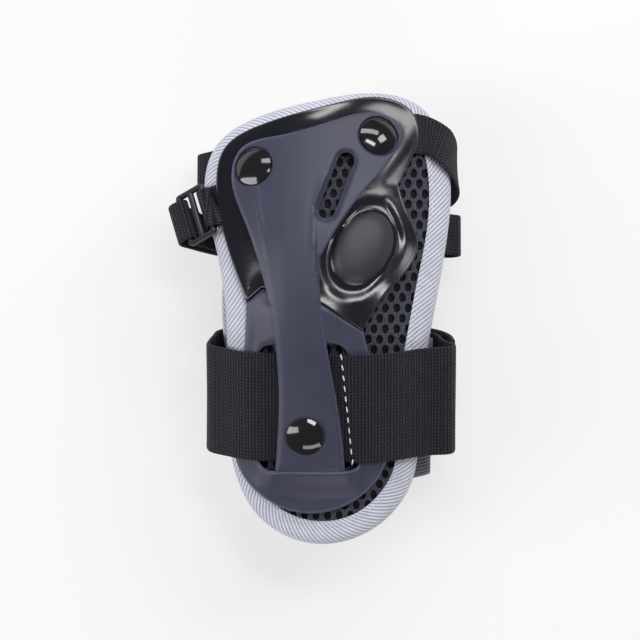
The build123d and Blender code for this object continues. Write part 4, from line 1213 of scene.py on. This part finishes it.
near = []
for place, ahead in (((-28.6, 46.2, 1.4), (-33.0, 44.6, 1.4)), ((-33.0, 44.6, 1.4), (-37.6, 42.6, 1.3))):
    point, out = on_side(palm_z, *place)
    near.append(tab_row(point, unit(np.cross(on_side(palm_z, *ahead)[0] - point, out))))
near.append(tab_row(on_side(palm_z, -37.6, 42.6, 1.3)[0], unit(np.array(near[-1][3:]) + ALONG_V)))
ring = [tab_row(at_buckle(2.1 * math.sin(a), -2.1 * math.cos(a)), ALONG_V)
        for a in np.radians((-8, 30, 65, 100, 135, 165, 190))]
back = [tab_row(on_side(palm_z, -38.9, 42.0, 5.7)[0], ALONG_V),
        tab_row(on_side(palm_z, -37.2, 42.6, 4.3)[0], ALONG_V)]
rows = smooth_line(near + ring + back, 110)
tab = webbing("buckle_tab_webbing", rows[:, :3], rows[:, 3:], 15.2, 0.95, narrow_webbing)
stands_for(tab, ["buckle_tab"])

# %% [markdown]
# ## Stretch gussets
# Stretch knit closes the sleeve between the two panels. Each gusset is a wall that is held at both seams and
# changes shape along the arm, so it is a grid between a few section lines, with its thickness added along its
# own normals.

# %% Walls from section lines
def gusset(name, stations, node):
    rows = []
    for angle, offset, points in stations:
        line = smooth_line([(float(x), float(r)) for x, r in points], 26, measured=2)
        rows.append([bend_point(angle, offset, x, r) for x, r in line])
    rows = np.array(rows)
    along = np.concatenate([[0], np.cumsum(np.linalg.norm(np.diff(rows.mean(1), axis=0), axis=1))])
    fine = np.linspace(0, along[-1], 60)
    grid = np.stack([np.column_stack([np.interp(fine, along, rows[:, j, k]) for k in range(3)])
                     for j in range(26)], 1)
    out = unit(np.cross(np.gradient(grid, axis=0), np.gradient(grid, axis=1)))
    a, b = (grid + out * 0.6).reshape(-1, 3), (grid - out * 0.6).reshape(-1, 3)
    n, m = grid.shape[:2]
    cells = [(i * m + j, i * m + j + 1, (i + 1) * m + j + 1, (i + 1) * m + j) for i in range(n - 1)
             for j in range(m - 1)]
    faces = cells + [tuple(k + n * m for k in c[::-1]) for c in cells]
    rim = [i * m for i in range(n)] + [(n - 1) * m + j for j in range(1, m)]
    rim += [i * m + m - 1 for i in range(n - 2, -1, -1)] + list(range(m - 2, 0, -1))
    faces += [(rim[k], rim[(k + 1) % len(rim)], rim[(k + 1) % len(rim)] + n * m, rim[k] + n * m)
              for k in range(len(rim))]
    girth = np.linalg.norm(np.diff(grid, axis=1), axis=2).mean(0).sum()
    uv = np.array([(fine[i], j * girth / 25) for i in range(n) for j in range(m)])
    wall = new_piece(name, np.vstack([a, b]), faces, stretch_knit, uv=np.vstack([uv, uv]))
    stands_for(wall, [node])


def inner_wall(top_x, middle_x, bottom_x):
    top, low = palm_rho(top_x, -7.5), dorsal_rho(bottom_x, -7.5)
    return [(top_x, top), (middle_x, (top + low) / 2), (bottom_x, low)]


def bulged_wall(palm_edge, bulge_x, dorsal_edge):
    corner, foot = palm_rho(palm_edge, -8.4), dorsal_rho(dorsal_edge + 1.2, -3.5)
    return [(palm_edge - 5, palm_rho(palm_edge - 5, -7.5)), (palm_edge, corner),
            (bulge_x, (corner + foot) / 2),
            (dorsal_edge + 1.2, foot)]


gusset("little_finger_stretch", [
    (-TILT_FOREARM, 54, inner_wall(-24.8, -24.6, -20.0)), (-TILT_FOREARM, 0, inner_wall(-29.0, -31.3, -30.3)),
    (math.radians(-4), 0, inner_wall(-30.3, -31.8, -30.2)), (math.radians(8), 0,
                                                             inner_wall(-31.6, -32.3, -29.9)),
    (TILT_HAND, 0, inner_wall(-32.3, -32.6, -29.2))], "little_finger_gusset")
gusset("thumb_side_stretch", [
    (-TILT_FOREARM, 54, bulged_wall(36.8, 43.2, 35.2)), (-TILT_FOREARM, 2, bulged_wall(43.3, 43.9, 37.4))],
    "thumb_side_gusset")

# %% Tack stitches on the wide strap
tack_x, tack_y = np.linspace(9.9, 14.3, 30), np.linspace(-14.6, -54, 30)
tack = np.column_stack([tack_x + 0.25 * np.sin(np.arange(30) * 2.1), tack_y, palm_z(tack_x, tack_y, 4.15)])
stitches("strap_tack_stitches", [tack], 4.1, 2.5, 0.30, pale_thread)

# %% [markdown]
# ## Hard parts that keep their CAD shape
# The rivets, their washers, the buckle and the dorsal stay are hard parts with the right shape already, so
# they only need their finishes.

# %% Finishes on the CAD nodes
for node, material in (
    ("rivets", rivet_finish), ("dorsal_rivets", rivet_finish), ("rivet_washers", washer_finish),
    ("dorsal_rivet_washers", washer_finish), ("strap_buckle", buckle_finish), ("dorsal_splint", stay_finish),
):
    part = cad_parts[node]
    for holder in part.material_slots:
        holder.material = material
    print(node, "has", len(part.material_slots), "slot with", material.name)

# %% [markdown]
# ## Floor, light and camera
# The guard lies on a pale, plain floor under soft light. Five soft boxes give the polished plate its long
# reflections, two at the fingers and one on each other side, and an even sky fills the shadows. The camera
# looks straight down from far away, so that nothing is foreshortened.

# %% Floor
bpy.ops.mesh.primitive_plane_add(size=8)
floor = bpy.context.object
floor.name = "floor"
ground, tree, shader = new_finish("pale floor", 0.9, Specular_IOR_Level=0.1)
shader.inputs["Base Color"].default_value = (0.30, 0.30, 0.30, 1)
shader.inputs["Emission Color"].default_value = (1, 1, 1, 1)
shader.inputs["Emission Strength"].default_value = 0.62
floor.data.materials.append(ground)


# %% Light
def soft_box(name, place, target, size, power):
    data = bpy.data.lights.new(name, "AREA")
    data.shape, data.size, data.size_y, data.energy = "RECTANGLE", size[0], size[1], power
    light = bpy.data.objects.new(name, data)
    bpy.context.scene.collection.objects.link(light)
    light.location = place
    way = Vector(target) - Vector(place)
    light.rotation_euler = way.to_track_quat("-Z", "Y").to_euler()


SOFT_BOXES = [
    ("finger_top_box", (0.16, 0.36, 1.00), (0, 0.06, 0.04), (0.50, 0.16), 3.2),
    ("finger_side_box", (0.12, 1.05, 0.85), (0, 0, 0.04), (1.1, 0.30), 6.5),
    ("thumb_side_box", (0.75, 0.55, 0.75), (0, 0, 0.04), (0.30, 0.45), 3.5),
    ("left_box", (-1.1, -0.1, 0.7), (0, 0, 0.04), (0.4, 1.2), 9),
    ("wrist_side_box", (0.2, -1.2, 0.7), (0, 0, 0.04), (1.2, 0.3), 4.5),
]
for box in SOFT_BOXES:
    soft_box(*box)
world = bpy.data.worlds.new("studio")
bpy.context.scene.world = world
world.use_nodes = True
world.node_tree.nodes["Background"].inputs["Color"].default_value = (1, 1, 1, 1)
world.node_tree.nodes["Background"].inputs["Strength"].default_value = 0.18

# %% Camera
view = bpy.data.cameras.new("camera")
view.lens, view.sensor_width = 450, 36
view.clip_end = 50
camera = bpy.data.objects.new("camera", view)
bpy.context.scene.collection.objects.link(camera)
camera.location = (0.0019, -0.0006, 3.06)
bpy.context.scene.camera = camera
bpy.context.scene.view_settings.view_transform = "Standard"
